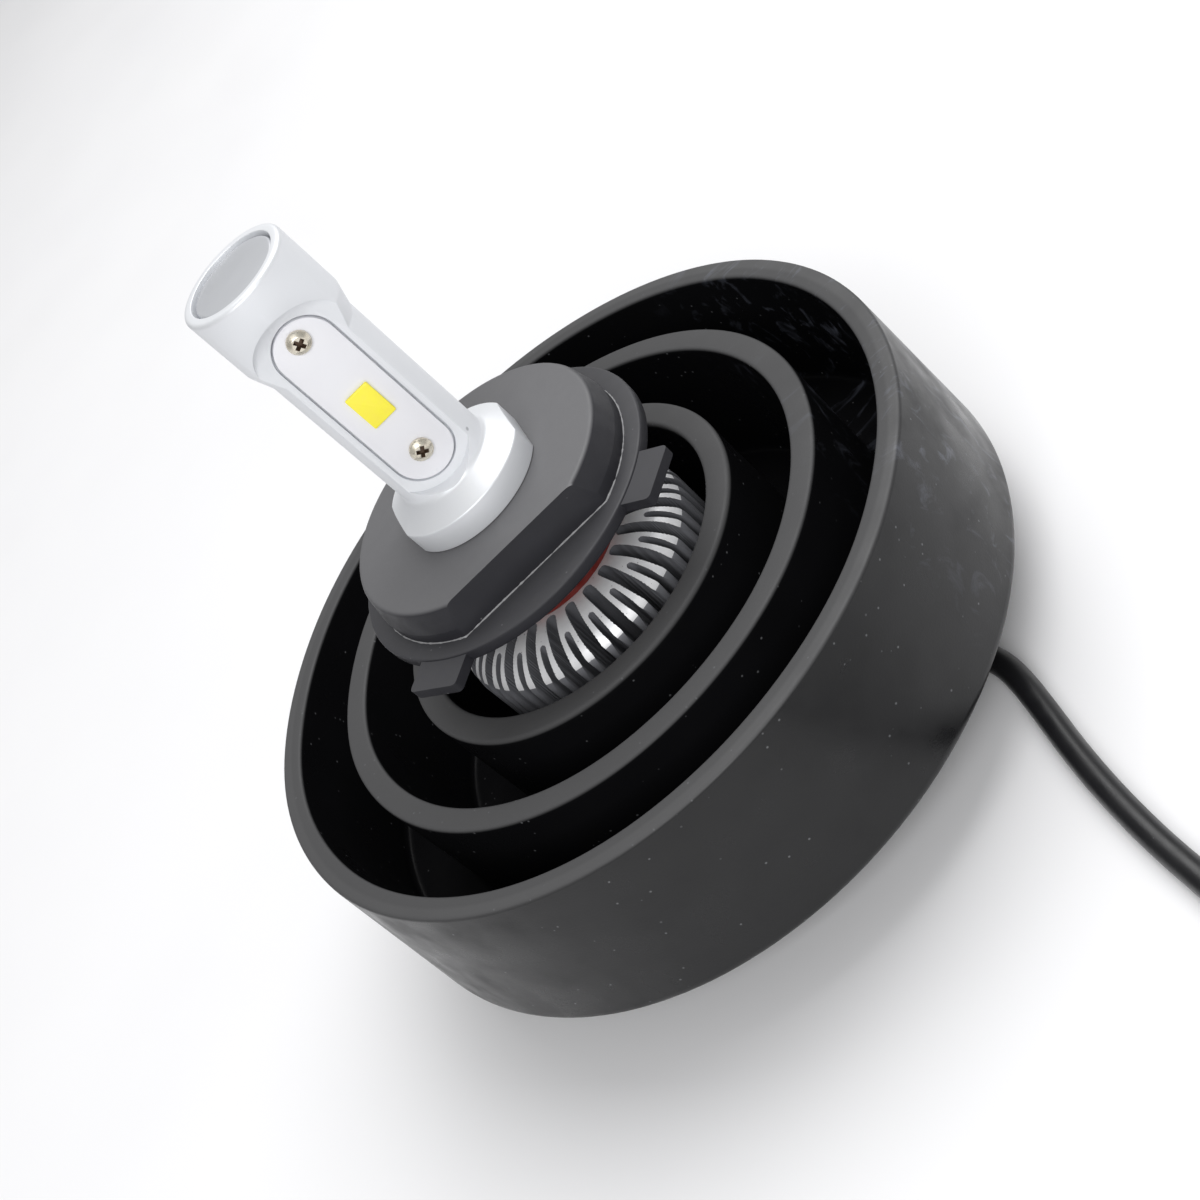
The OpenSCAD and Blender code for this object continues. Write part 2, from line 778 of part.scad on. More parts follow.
module cord_run() color("black") swept_cable(RUN_ROUTE, cable_d);

module cord_coil() {
    color("black") translate([coil_centre[0], coil_centre[1], 0]) rotate_extrude()
        translate([coil_inner_r - cable_d / 2, 0])
            square([coil_outer_r - coil_inner_r + cable_d, cable_d]);
}

module cord_tail() color("black") swept_cable(TAIL_ROUTE, cable_d);

// Puts children in the plug's own frame: +X along the plug from its back, +Z up.
module plug_place() {
    translate([plug_x, plug_back_y, plug_z]) rotate([0, 0, -90]) children();
}

module plug_shell() {
    color("black") plug_place() {
        difference() {
            translate([0, -plug_w / 2, -plug_h / 2]) cube([plug_len, plug_w, plug_h]);
            translate([plug_len - plug_cavity_len, -plug_w / 2 + plug_wall, -plug_h / 2 + plug_wall])
                cube([plug_cavity_len + 1, plug_w - 2 * plug_wall, plug_h - 2 * plug_wall]);
            for (side = [-1, 1])
                translate([blade_root, side * blade_spacing / 2 - blade_w / 2, -blade_thick / 2])
                    cube([plug_len, blade_w, blade_thick]);
        }
        translate([plug_len - latch_back, -latch_w / 2, plug_h / 2 - eps])
            cube([latch_len, latch_w, latch_h]);
    }
}

module plug_blades() {
    color("gold") plug_place() for (side = [-1, 1])
        translate([blade_root, side * blade_spacing / 2 - blade_w / 2, -blade_thick / 2])
            cube([blade_len, blade_w, blade_thick]);
}

module plug_seal() {
    w = plug_w - 2 * plug_wall;
    h = plug_h - 2 * plug_wall;
    color("firebrick") plug_place() translate([plug_len - plug_cavity_len, 0, 0]) difference() {
        translate([0, -w / 2, -h / 2]) cube([gasket_len, w, h]);
        translate([-1, gasket_wall - w / 2, gasket_wall - h / 2])
            cube([gasket_len + 2, w - 2 * gasket_wall, h - 2 * gasket_wall]);
    }
}

lamp_mast();
tip_cap();
led_board_front();
led_board_rear();
led_chip_front();
led_chip_rear();
board_screws();
base_adapter();
red_seal();
heat_sink();
mast_bolt();
driver_board();
driver_parts();
fan_housing();
housing_screws();
fan_base();
fan_bearing();
fan_stator();
fan_rotor();
fan_magnet();
fan_shaft();
inner_leads();
cable_boot();
dust_cover();
cord_run();
cord_coil();
cord_tail();
plug_shell();
plug_blades();
plug_seal();
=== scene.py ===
"""Looks of an LED headlight bulb with its rubber dust cover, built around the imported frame.

Everything is in metres in the frame's own axes: +Z runs up the bulb from the fan to the lamp tip,
the front LED board faces -Y, and the fan housing stands on z = 0.
"""

import logging
import math
from dataclasses import dataclass, field
from enum import Enum
from typing import Callable, Sequence

import bpy
from mathutils import Matrix, Vector, noise


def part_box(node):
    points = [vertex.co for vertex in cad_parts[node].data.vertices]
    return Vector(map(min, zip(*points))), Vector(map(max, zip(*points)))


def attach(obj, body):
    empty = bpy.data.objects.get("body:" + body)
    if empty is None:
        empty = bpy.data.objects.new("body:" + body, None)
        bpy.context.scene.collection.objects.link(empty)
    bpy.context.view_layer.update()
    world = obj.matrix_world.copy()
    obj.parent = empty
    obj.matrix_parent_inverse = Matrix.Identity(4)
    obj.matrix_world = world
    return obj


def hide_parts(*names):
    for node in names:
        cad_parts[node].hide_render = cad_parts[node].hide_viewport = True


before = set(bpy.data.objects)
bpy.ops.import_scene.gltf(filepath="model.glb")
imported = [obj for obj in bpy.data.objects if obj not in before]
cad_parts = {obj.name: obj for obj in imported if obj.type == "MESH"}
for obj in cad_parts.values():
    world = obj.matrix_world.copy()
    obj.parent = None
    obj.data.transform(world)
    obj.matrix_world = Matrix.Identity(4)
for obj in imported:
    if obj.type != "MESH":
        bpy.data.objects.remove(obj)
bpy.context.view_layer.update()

MM = 0.001
WELD = 2e-6
LOG = logging.getLogger("headlight_bulb")

Point = tuple[float, float]
Corner = tuple[float, float, float]


class Body(Enum):
    """The rigid bodies that pieces ride on."""

    BULB = "bulb"
    FAN = "fan"
    COVER = "cover"


# ---------------------------------------------------------------------------
# Modelling
# ---------------------------------------------------------------------------


def deselect_all() -> None:
    """Leaves edit mode and selects nothing."""
    if bpy.context.object and bpy.context.object.mode != "OBJECT":
        bpy.ops.object.mode_set(mode="OBJECT")
    bpy.ops.object.select_all(action="DESELECT")


def activate(piece: bpy.types.Object) -> None:
    """Makes a piece the only selected one and the active one."""
    deselect_all()
    piece.select_set(True)
    bpy.context.view_layer.objects.active = piece


def edit_all(piece: bpy.types.Object, *steps: Callable[[], object]) -> None:
    """Runs operators in edit mode on the whole mesh.

    Args:
        piece: the mesh object.
        steps: functions that each call one operator; all is selected before each.
    """
    activate(piece)
    bpy.ops.object.mode_set(mode="EDIT")
    for step in steps:
        bpy.ops.mesh.select_all(action="SELECT")
        step()
    bpy.ops.object.mode_set(mode="OBJECT")


def close_up(piece: bpy.types.Object) -> None:
    """Merges seams and poles and turns the faces outwards."""
    edit_all(
        piece,
        lambda: bpy.ops.mesh.remove_doubles(threshold=WELD),
        lambda: bpy.ops.mesh.dissolve_degenerate(threshold=WELD),
        lambda: bpy.ops.mesh.normals_make_consistent(inside=False),
    )


def modify(piece: bpy.types.Object, kind: str, **settings: object) -> bpy.types.Object:
    """Adds a modifier and applies it.

    Args:
        piece: the mesh object.
        kind: the modifier's type, such as BEVEL.
        settings: the modifier's properties.

    Returns:
        The same piece.
    """
    activate(piece)
    modifier = piece.modifiers.new(kind.title(), kind)
    for name, value in settings.items():
        setattr(modifier, name, value)
    bpy.ops.object.modifier_apply(modifier=modifier.name)
    return piece


def soften(piece: bpy.types.Object, width: float, segments: int = 2, angle: float = 35) -> None:
    """Rounds a piece's sharp edges."""
    modify(
        piece, "BEVEL", width=width, segments=segments, limit_method="ANGLE",
        angle_limit=math.radians(angle), miter_outer="MITER_ARC", use_clamp_overlap=True,
    )


def shade(piece: bpy.types.Object, angle: float = 35) -> bpy.types.Object:
    """Shades a piece smooth except across edges sharper than the angle."""
    activate(piece)
    bpy.ops.object.shade_smooth_by_angle(angle=math.radians(angle))
    return piece


def carve(piece: bpy.types.Object, tool: bpy.types.Object, operation: str = "DIFFERENCE") -> None:
    """Cuts a piece with a tool body, or joins them, and removes the tool."""
    modify(piece, "BOOLEAN", object=tool, operation=operation, solver="EXACT")
    bpy.data.objects.remove(tool)


def rounded(corners: Sequence[Corner], steps: int = 4) -> list[Point]:
    """Outline through corners, with each corner rounded.

    Args:
        corners: (u, v, radius) of each corner in turn; a radius of 0 keeps it sharp.
        steps: how many edges each round corner has.

    Returns:
        The points of the closed outline.
    """
    outline: list[Point] = []
    for i, (u, v, radius) in enumerate(corners):
        here = Vector((u, v))
        before = Vector(corners[i - 1][:2]) - here
        after = Vector(corners[(i + 1) % len(corners)][:2]) - here
        if not radius:
            outline.append((u, v))
            continue
        reach = radius / math.tan(before.angle(after) / 2)
        reach = min(reach, 0.48 * before.length, 0.48 * after.length)
        start = here + before.normalized() * reach
        end = here + after.normalized() * reach
        for k in range(steps + 1):
            t = k / steps
            p = start * (1 - t) ** 2 + here * 2 * t * (1 - t) + end * t**2
            outline.append((p.x, p.y))
    return outline


def loop_piece(name: str, points: Sequence[Vector], filled: bool) -> bpy.types.Object:
    """A primitive circle whose corners are set on the points."""
    deselect_all()
    bpy.ops.mesh.primitive_circle_add(vertices=len(points), fill_type="NGON" if filled else "NOTHING")
    piece = bpy.context.object
    piece.name = piece.data.name = name
    for vertex, point in zip(piece.data.vertices, points):
        vertex.co = point
    return piece


def turned(name: str, outline: Sequence[Point], steps: int = 96) -> bpy.types.Object:
    """A turned piece: an outline of (radius, height) points spun about the axis."""
    piece = loop_piece(name, [Vector((r, 0, z)) for r, z in outline], filled=False)
    edit_all(piece, lambda: bpy.ops.mesh.spin(steps=steps, angle=math.tau, center=(0, 0, 0), axis=(0, 0, 1)))
    close_up(piece)
    return piece


def extruded(name: str, outline: Sequence[Point], low: float, high: float) -> bpy.types.Object:
    """A plate: an outline of (x, y) points raised from one height to another."""
    piece = loop_piece(name, [Vector((x, y, low)) for x, y in outline], filled=True)
    edit_all(
        piece,
        lambda: bpy.ops.mesh.extrude_region_move(TRANSFORM_OT_translate={"value": (0, 0, high - low)}),
        lambda: bpy.ops.mesh.normals_make_consistent(inside=False),
    )
    return piece


def stadium(width: float, length: float, steps: int = 20) -> list[Point]:
    """Outline with round ends, along Y."""
    r, half = width / 2, (length - width) / 2
    ends = [(1, 0), (-1, 180)]
    return [
        (r * math.cos(a), side * half + r * math.sin(a))
        for side, start in ends
        for a in (math.radians(start + 180 * k / steps) for k in range(steps + 1))
    ]


def place(piece: bpy.types.Object, matrix: Matrix) -> bpy.types.Object:
    """Moves a piece's mesh and leaves its object at the origin."""
    piece.data.transform(matrix)
    return piece


def copy_of(piece: bpy.types.Object, name: str, matrix: Matrix) -> bpy.types.Object:
    """A copy with its own mesh, moved by the matrix."""
    twin = bpy.data.objects.new(name, piece.data.copy())
    bpy.context.scene.collection.objects.link(twin)
    return place(twin, matrix)


def joined(name: str, parts: Sequence[bpy.types.Object]) -> bpy.types.Object:
    """Joins parts into one piece."""
    deselect_all()
    for part in parts:
        part.select_set(True)
    bpy.context.view_layer.objects.active = parts[0]
    bpy.ops.object.join()
    parts[0].name = parts[0].data.name = name
    return parts[0]


def turn_z(degrees: float) -> Matrix:
    """A turn about the bulb's axis."""
    return Matrix.Rotation(math.radians(degrees), 4, "Z")


def hand_over(
    piece: bpy.types.Object, body: Body, slot: str, nodes: Sequence[str], *looks: bpy.types.Material
) -> None:
    """Gives a finished piece its materials, its body and the CAD nodes that it stands for.

    Args:
        piece: the finished piece.
        body: the body that it rides on.
        slot: the record's material slot; not used.
        nodes: the CAD nodes that it replaces.
        looks: its materials; none leaves those that it has.
    """
    if looks:
        piece.data.materials.clear()
        for look in looks:
            piece.data.materials.append(look)
    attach(piece, body.value)
    if nodes:
        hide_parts(*nodes)
    LOG.info("%s rides on %s for %s", piece.name, body.value, ", ".join(nodes) or "no node")


# ---------------------------------------------------------------------------
# Finishes
# ---------------------------------------------------------------------------


def linear(colour: str) -> tuple[float, float, float, float]:
    """Turns an sRGB hex colour into linear values."""
    parts = [int(colour[i:i + 2], 16) / 255 for i in (1, 3, 5)]
    bent = [p / 12.92 if p <= 0.04045 else ((p + 0.055) / 1.055) ** 2.4 for p in parts]
    return (bent[0], bent[1], bent[2], 1.0)


def add_node(
    tree: bpy.types.NodeTree,
    kind: str,
    inputs: dict[str | int, object] | None = None,
    **settings: object,
) -> bpy.types.Node:
    """Adds a node, sets its properties and fills its inputs.

    Args:
        tree: the material's node tree.
        kind: the node's type, without the leading ShaderNode.
        inputs: a value, or another node's output, for each named input.
        settings: the node's properties.

    Returns:
        The new node.
    """
    made = tree.nodes.new("ShaderNode" + kind)
    for name, value in settings.items():
        setattr(made, name, value)
    for name, value in (inputs or {}).items():
        if isinstance(value, bpy.types.NodeSocket):
            tree.links.new(value, made.inputs[name])
        else:
            made.inputs[name].default_value = value
    return made


@dataclass(frozen=True)
class Finish:
    """A surface finish: two tones, a gloss and a grain, all at real sizes.

    The tone blotches come from how the surface was made or handled, the grain is its texture, and
    the specks are dust, pits or glints.
    """

    name: str
    tone: str
    deep_tone: str
    roughness: float
    metallic: float = 0.0
    roughness_spread: float = 0.08
    blotch_size: float = 9 * MM
    grain_size: float = 0.3 * MM
    grain_depth: float = 0.01 * MM
    speck_tone: str | None = None
    speck_size: float = 0.5 * MM
    speck_share: float = 0.03
    # painted light: a lighter tone for faces turned up towards the overhead light, full above the given height
    painted_top_light_tone: str | None = None
    painted_top_light_height: float = -1.0
    specular: float = 0.5
    coat: float = 0.0
    ior: float = 1.5

    def colour(self, tree: bpy.types.NodeTree, place_at: bpy.types.NodeSocket) -> bpy.types.NodeSocket:
        """The colour before specks; a subclass lays its own pattern over it."""
        blotch = add_node(tree, "TexNoise", {"Vector": place_at, "Scale": 1 / self.blotch_size, "Detail": 4.0})
        return self.mixed(tree, blotch.outputs["Fac"], self.tone, self.deep_tone)

    def mixed(
        self, tree: bpy.types.NodeTree, share: bpy.types.NodeSocket, tone: object, other: object
    ) -> bpy.types.NodeSocket:
        """Mixes two colours, each a hex string or a socket, by a share."""
        colours = [linear(c) if isinstance(c, str) else c for c in (tone, other)]
        mix = add_node(tree, "Mix", {0: share, 6: colours[0], 7: colours[1]}, data_type="RGBA")
        return mix.outputs[2]

    def window(
        self, tree: bpy.types.NodeTree, value: bpy.types.NodeSocket, low: float, high: float,
        to_low: float = 0.0, to_high: float = 1.0,
    ) -> bpy.types.NodeSocket:
        """Maps a value's range onto another, clamped."""
        inputs = {"Value": value, "From Min": low, "From Max": high, "To Min": to_low, "To Max": to_high}
        return add_node(tree, "MapRange", inputs).outputs[0]

    def relief(self, tree: bpy.types.NodeTree, place_at: bpy.types.NodeSocket) -> bpy.types.NodeSocket:
        """The grain's height."""
        grain = add_node(tree, "TexNoise", {"Vector": place_at, "Scale": 1 / self.grain_size, "Detail": 3.0})
        return grain.outputs["Fac"]

    def gloss(self, tree: bpy.types.NodeTree, place_at: bpy.types.NodeSocket) -> bpy.types.NodeSocket:
        """The roughness, which wanders about its middle."""
        wander = add_node(
            tree, "TexNoise", {"Vector": place_at, "Scale": 1 / (self.blotch_size * 0.6), "Detail": 5.0}
        )
        low, high = self.roughness - self.roughness_spread, self.roughness + self.roughness_spread
        return self.window(tree, wander.outputs["Fac"], 0.3, 0.7, low, high)

    def shine(self, tree: bpy.types.NodeTree, place_at: bpy.types.NodeSocket) -> object:
        """The specular level."""
        return self.specular

    def material(self) -> bpy.types.Material:
        """Builds the material."""
        made = bpy.data.materials.new(self.name)
        made.use_nodes = True
        tree = made.node_tree
        tree.nodes.clear()
        place_at = add_node(tree, "TexCoord").outputs["Object"]
        colour = self.colour(tree, place_at)
        if self.speck_tone:
            cells = add_node(tree, "TexVoronoi", {"Vector": place_at, "Scale": 1 / self.speck_size})
            pick = add_node(tree, "SeparateColor", {"Color": cells.outputs["Color"]})
            chosen = self.window(tree, pick.outputs[0], self.speck_share, self.speck_share * 0.6)
            small = self.window(tree, cells.outputs["Distance"], 0.24, 0.12)
            speck = add_node(tree, "Math", {0: chosen, 1: small}, operation="MULTIPLY")
            colour = self.mixed(tree, speck.outputs[0], colour, self.speck_tone)
        # painted light: faces turned up are mixed towards the lighter tone, a quarter of it below the height and all
        # of it above
        if self.painted_top_light_tone:
            facing = add_node(tree, "TexCoord").outputs["Normal"]
            upward = add_node(tree, "SeparateXYZ", {"Vector": facing}).outputs["Z"]
            height = add_node(tree, "SeparateXYZ", {"Vector": place_at}).outputs["Z"]
            above = self.window(tree, height, self.painted_top_light_height, self.painted_top_light_height + 1 * MM, 0.25, 1.0)
            turned_up = self.window(tree, upward, 0.45, 0.95)
            share = add_node(tree, "Math", {0: above, 1: turned_up}, operation="MULTIPLY").outputs[0]
            colour = self.mixed(tree, share, colour, self.painted_top_light_tone)
        bump = add_node(
            tree, "Bump",
            {"Height": self.relief(tree, place_at), "Distance": self.grain_depth, "Strength": 1.0},
        )
        shader = add_node(
            tree, "BsdfPrincipled",
            {
                "Base Color": colour, "Metallic": self.metallic, "Roughness": self.gloss(tree, place_at),
                "Normal": bump.outputs[0], "IOR": self.ior, "Specular IOR Level": self.shine(tree, place_at),
                "Coat Weight": self.coat,
            },
        )
        add_node(tree, "OutputMaterial", {"Surface": shader.outputs[0]})
        return made


@dataclass(frozen=True)
class MouldedRubber(Finish):
    """Compression-moulded rubber: the rims are rougher and painted grey for the overhead light on their tops, the
    walls keep the mould's satin, and handling leaves milky scuffs on one side."""

    rim_height: float = 42 * MM
    channel_radius: float = 57.4 * MM
    scuff_tone: str = "#8b90a0"

    def colour(self, tree: bpy.types.NodeTree, place_at: bpy.types.NodeSocket) -> bpy.types.NodeSocket:
        """Rubber with painted light on the rims' tops, and scuffs."""
        plain = super().colour(tree, place_at)
        apart = add_node(tree, "SeparateXYZ", {"Vector": place_at})
        rim = self.window(tree, apart.outputs["Z"], self.rim_height - 0.5 * MM, self.rim_height - 0.1 * MM)
        # painted light: the rims' tops are mixed to a mid grey for the overhead light that falls on them
        ground = self.mixed(tree, rim, plain, "#4a4a4b")
        # smears about 6 mm long, broken up by fine streaks, on the side that is handled
        warp = add_node(tree, "Mapping", {"Vector": place_at, "Rotation": (0.4, 0.2, 0.9), "Scale": (1.0, 3.2, 1.6)})
        smear = add_node(
            tree, "TexNoise",
            {"Vector": warp.outputs[0], "Scale": 1 / (11 * MM), "Detail": 7.0, "Roughness": 0.62, "Distortion": 1.2},
        )
        side = self.window(tree, apart.outputs["X"], 36 * MM, 56 * MM)
        patch = self.window(tree, smear.outputs["Fac"], 0.56, 0.74)
        share = add_node(tree, "Math", {0: side, 1: patch}, operation="MULTIPLY")
        faint = add_node(tree, "Math", {0: share.outputs[0], 1: 0.4}, operation="MULTIPLY")
        return self.mixed(tree, faint.outputs[0], ground, self.scuff_tone)

    def gloss(self, tree: bpy.types.NodeTree, place_at: bpy.types.NodeSocket) -> bpy.types.NodeSocket:
        """Satin walls and matte rims."""
        satin = super().gloss(tree, place_at)
        apart = add_node(tree, "SeparateXYZ", {"Vector": place_at})
        rim = self.window(tree, apart.outputs["Z"], self.rim_height - 0.5 * MM, self.rim_height - 0.1 * MM, 0, 0.22)
        return add_node(tree, "Math", {0: satin, 1: rim}, operation="ADD").outputs[0]

    def shine(self, tree: bpy.types.NodeTree, place_at: bpy.types.NodeSocket) -> object:
        """Channels with their reflection turned down, a painted shade that darkens them, and satin outside."""
        apart = add_node(tree, "SeparateXYZ", {"Vector": place_at})
        flat = add_node(tree, "CombineXYZ", {"X": apart.outputs["X"], "Y": apart.outputs["Y"]})
        radius = add_node(tree, "VectorMath", {0: flat.outputs[0]}, operation="LENGTH").outputs["Value"]
        # painted shade: inside the channels the specular level drops to 0.12 of its value, darkening them as the
        # shade deep in them
        outside = self.window(tree, radius, self.channel_radius, self.channel_radius + 1 * MM, 0.12, 1.0)
        rim = self.window(tree, apart.outputs["Z"], self.rim_height - 1.2 * MM, self.rim_height, 0.12, 0.5)
        most = add_node(tree, "Math", {0: outside, 1: rim}, operation="MAXIMUM").outputs[0]
        return add_node(tree, "Math", {0: most, 1: self.specular}, operation="MULTIPLY").outputs[0]


@dataclass(frozen=True)
class TurnedMetal(Finish):
    """Metal faced on a lathe: concentric tool marks about the axis."""

    mark_pitch: float = 0.14 * MM

    def relief(self, tree: bpy.types.NodeTree, place_at: bpy.types.NodeSocket) -> bpy.types.NodeSocket:
        """Rings at the lathe's feed; the real ones are finer than the picture shows."""
        rings = add_node(
            tree, "TexWave",
            {"Vector": place_at, "Scale": 1 / (self.mark_pitch * 20), "Distortion": 0.6, "Detail": 2.0},
            wave_type="RINGS", rings_direction="Z",
        )
        return rings.outputs["Fac"]


FINISHES = {
    "cover_rubber": MouldedRubber(
        # carbon-black rubber: nearly black, satin, with white dust that sticks to it
        "moulded EPDM rubber", "#0d0d0e", "#131315", 0.34, roughness_spread=0.12, specular=0.36, blotch_size=14 * MM,
        grain_size=0.35 * MM, grain_depth=0.012 * MM, speck_tone="#5c5d5f", speck_size=0.9 * MM,
        speck_share=0.05, ior=1.52,
    ),
    "mast_white": Finish(
        # fine bead blasting under clear anodising: pale, even and soft
        "bead-blasted anodised aluminium", "#e9ebee", "#e0e2e6", 0.46, metallic=0.35,
        roughness_spread=0.03, blotch_size=16 * MM,
        grain_size=0.12 * MM, grain_depth=0.003 * MM, speck_tone="#b4b6ba", speck_size=1.6 * MM, speck_share=0.012,
    ),
    "cap_grey": TurnedMetal(
        # a turned disc with a clear coat: mid grey with a soft glow
        "turned anodised aluminium", "#babcc0", "#c2c4c8", 0.42, metallic=0.4,
        roughness_spread=0.02, blotch_size=7 * MM,
        grain_depth=0.0015 * MM, mark_pitch=0.3 * MM,
    ),
    "board_white": Finish(
        # white solder mask printed over a metal-core board: flat, slightly glossy
        "white solder mask", "#ececf0", "#e6e6ea", 0.36, blotch_size=6 * MM, grain_size=0.2 * MM,
        grain_depth=0.002 * MM, coat=0.1,
    ),
    "phosphor": Finish(
        # phosphor powder in clear silicone over the LED's dies
        "phosphor silicone", "#fff53a", "#ffee55", 0.42, blotch_size=1.1 * MM, grain_size=0.25 * MM,
        grain_depth=0.01 * MM,
    ),
    "screw_nickel": Finish(
        # bright nickel over steel, slightly yellow in the shade
        "nickel-plated steel", "#e6e1d4", "#c9c0ac", 0.3, metallic=0.7, blotch_size=0.9 * MM,
        grain_size=0.1 * MM, grain_depth=0.002 * MM,
    ),
    "recess_shade_brown": Finish(
        # the cross recess: punched steel, painted dark brown for the shade down in it
        "punched screw recess", "#6b5644", "#3e3129", 0.42, metallic=0.5, blotch_size=0.5 * MM,
        grain_size=0.1 * MM, grain_depth=0.004 * MM,
    ),
    "adapter_black": Finish(
        # glass-filled nylon: grey-black, matte, with a fine spark-eroded texture; faces turned up get a painted
        # lighter grey for the overhead light, fullest above 62 mm
        "glass-filled nylon", "#242428", "#2c2c31", 0.5, blotch_size=6 * MM, grain_size=0.22 * MM,
        grain_depth=0.012 * MM, speck_tone="#6a6a6c", speck_size=0.7 * MM, speck_share=0.02,
        painted_top_light_tone="#646466", painted_top_light_height=62 * MM, specular=0.35,
    ),
    "seal_red": Finish(
        # silicone rubber: saturated and waxy
        "silicone rubber", "#82221a", "#701c14", 0.5, blotch_size=4 * MM, grain_size=0.3 * MM,
        grain_depth=0.01 * MM,
    ),
    "sink_dark": Finish(
        # black anodising on the extruded walls, painted mid grey for the light that reaches into the deep fin gaps,
        # in random blotches
        "anodised extrusion", "#8e8f94", "#6c6d72", 0.42, metallic=0.35, blotch_size=5 * MM,
        grain_size=0.2 * MM, grain_depth=0.006 * MM,
    ),
    "sink_bright": TurnedMetal(
        # bare aluminium cut after anodising: silver with tool rings
        "turned aluminium", "#fafafb", "#e4e5e8", 0.4, metallic=0.25, blotch_size=2 * MM,
        grain_depth=0.004 * MM, speck_tone="#9c9da0", speck_size=0.5 * MM, speck_share=0.05,
    ),
    "housing_black": Finish(
        # moulded nylon with a fine matte texture
        "moulded nylon", "#1b1b1d", "#232325", 0.5, blotch_size=8 * MM, grain_size=0.25 * MM,
        grain_depth=0.012 * MM, speck_tone="#4c4c4e", speck_size=0.9 * MM, speck_share=0.015,
    ),
    "rotor_black": Finish(
        # glossier moulding for the blades
        "moulded PBT", "#1a1a1c", "#222224", 0.32, blotch_size=5 * MM, grain_size=0.3 * MM,
        grain_depth=0.004 * MM,
    ),
    "bolt_steel": Finish(
        # black oxide: dark, oily steel
        "black-oxide steel", "#3b3b3e", "#2c2c2f", 0.34, metallic=0.9, blotch_size=2 * MM,
        grain_size=0.15 * MM, grain_depth=0.004 * MM,
    ),
    "shaft_steel": TurnedMetal(
        # ground shaft: fine rings round it
        "ground steel", "#c3c4c6", "#a9aaad", 0.22, metallic=1.0, blotch_size=1.5 * MM,
        grain_depth=0.001 * MM,
    ),
    "board_green": Finish(
        # green solder mask over glass fibre, the weave just showing
        "green solder mask", "#1d5a2e", "#164822", 0.33, blotch_size=1.2 * MM, grain_size=0.4 * MM,
        grain_depth=0.006 * MM, coat=0.2,
    ),
    "component_dark": Finish(
        # moulded component bodies
        "epoxy moulding compound", "#20252b", "#15181c", 0.4, blotch_size=2 * MM, grain_size=0.15 * MM,
        grain_depth=0.006 * MM,
    ),
    "bronze": Finish(
        # sintered bronze, dark with oil in its pores
        "sintered bronze", "#a8763a", "#7d5426", 0.38, metallic=0.9, blotch_size=0.6 * MM,
        grain_size=0.12 * MM, grain_depth=0.01 * MM,
    ),
    "stator_copper": Finish(
        # enamelled copper wire, wound in rows of 0.2 mm
        "enamelled copper wire", "#b5622c", "#7f3d18", 0.3, metallic=0.8, blotch_size=0.4 * MM,
        grain_size=0.2 * MM, grain_depth=0.03 * MM, coat=0.4,
    ),
    "magnet_dark": Finish(
        # bonded ferrite: charcoal grey and slightly rough
        "bonded ferrite", "#3a3a3c", "#2b2b2d", 0.48, metallic=0.3, blotch_size=1 * MM,
        grain_size=0.15 * MM, grain_depth=0.01 * MM,
    ),
    "lead_red": Finish(
        # PVC insulation
        "PVC insulation", "#a81f17", "#8e1710", 0.35, blotch_size=2 * MM, grain_size=0.4 * MM,
        grain_depth=0.004 * MM,
    ),
    "cable_black": Finish(
        # extruded PVC jacket: satin black with a faint drag texture and a little dust
        "PVC cable jacket", "#161618", "#1e1e20", 0.36, roughness_spread=0.07, blotch_size=7 * MM,
        grain_size=0.5 * MM, grain_depth=0.012 * MM, speck_tone="#505052", speck_size=0.8 * MM, speck_share=0.03,
    ),
    "blade_brass": Finish(
        # stamped brass under a thin tin flash
        "tin-flashed brass", "#cdb87c", "#b39a58", 0.26, metallic=1.0, blotch_size=1.5 * MM,
        grain_size=0.2 * MM, grain_depth=0.003 * MM,
    ),
    "flash_grey": Finish(
        # ragged moulding flash, pale grey with darker blotches, a thin bright line round the seat's foot
        "nylon moulding flash", "#b9b9bb", "#5a5a5c", 0.6, blotch_size=0.8 * MM, grain_size=0.2 * MM,
        grain_depth=0.01 * MM,
    ),
    "floor_pale": Finish(
        # a plain painted table
        "matte white paint", "#f1f1f2", "#eeeef0", 0.7, blotch_size=80 * MM, grain_size=2 * MM,
        grain_depth=0.01 * MM,
    ),
}


@dataclass
class Paints:
    """Builds each finish once, when it is first asked for."""

    made: dict[str, bpy.types.Material] = field(default_factory=dict)

    def get(self, name: str) -> bpy.types.Material:
        """The material of a finish."""
        if name not in self.made:
            self.made[name] = FINISHES[name].material()
        return self.made[name]


# ---------------------------------------------------------------------------
# Studio
# ---------------------------------------------------------------------------


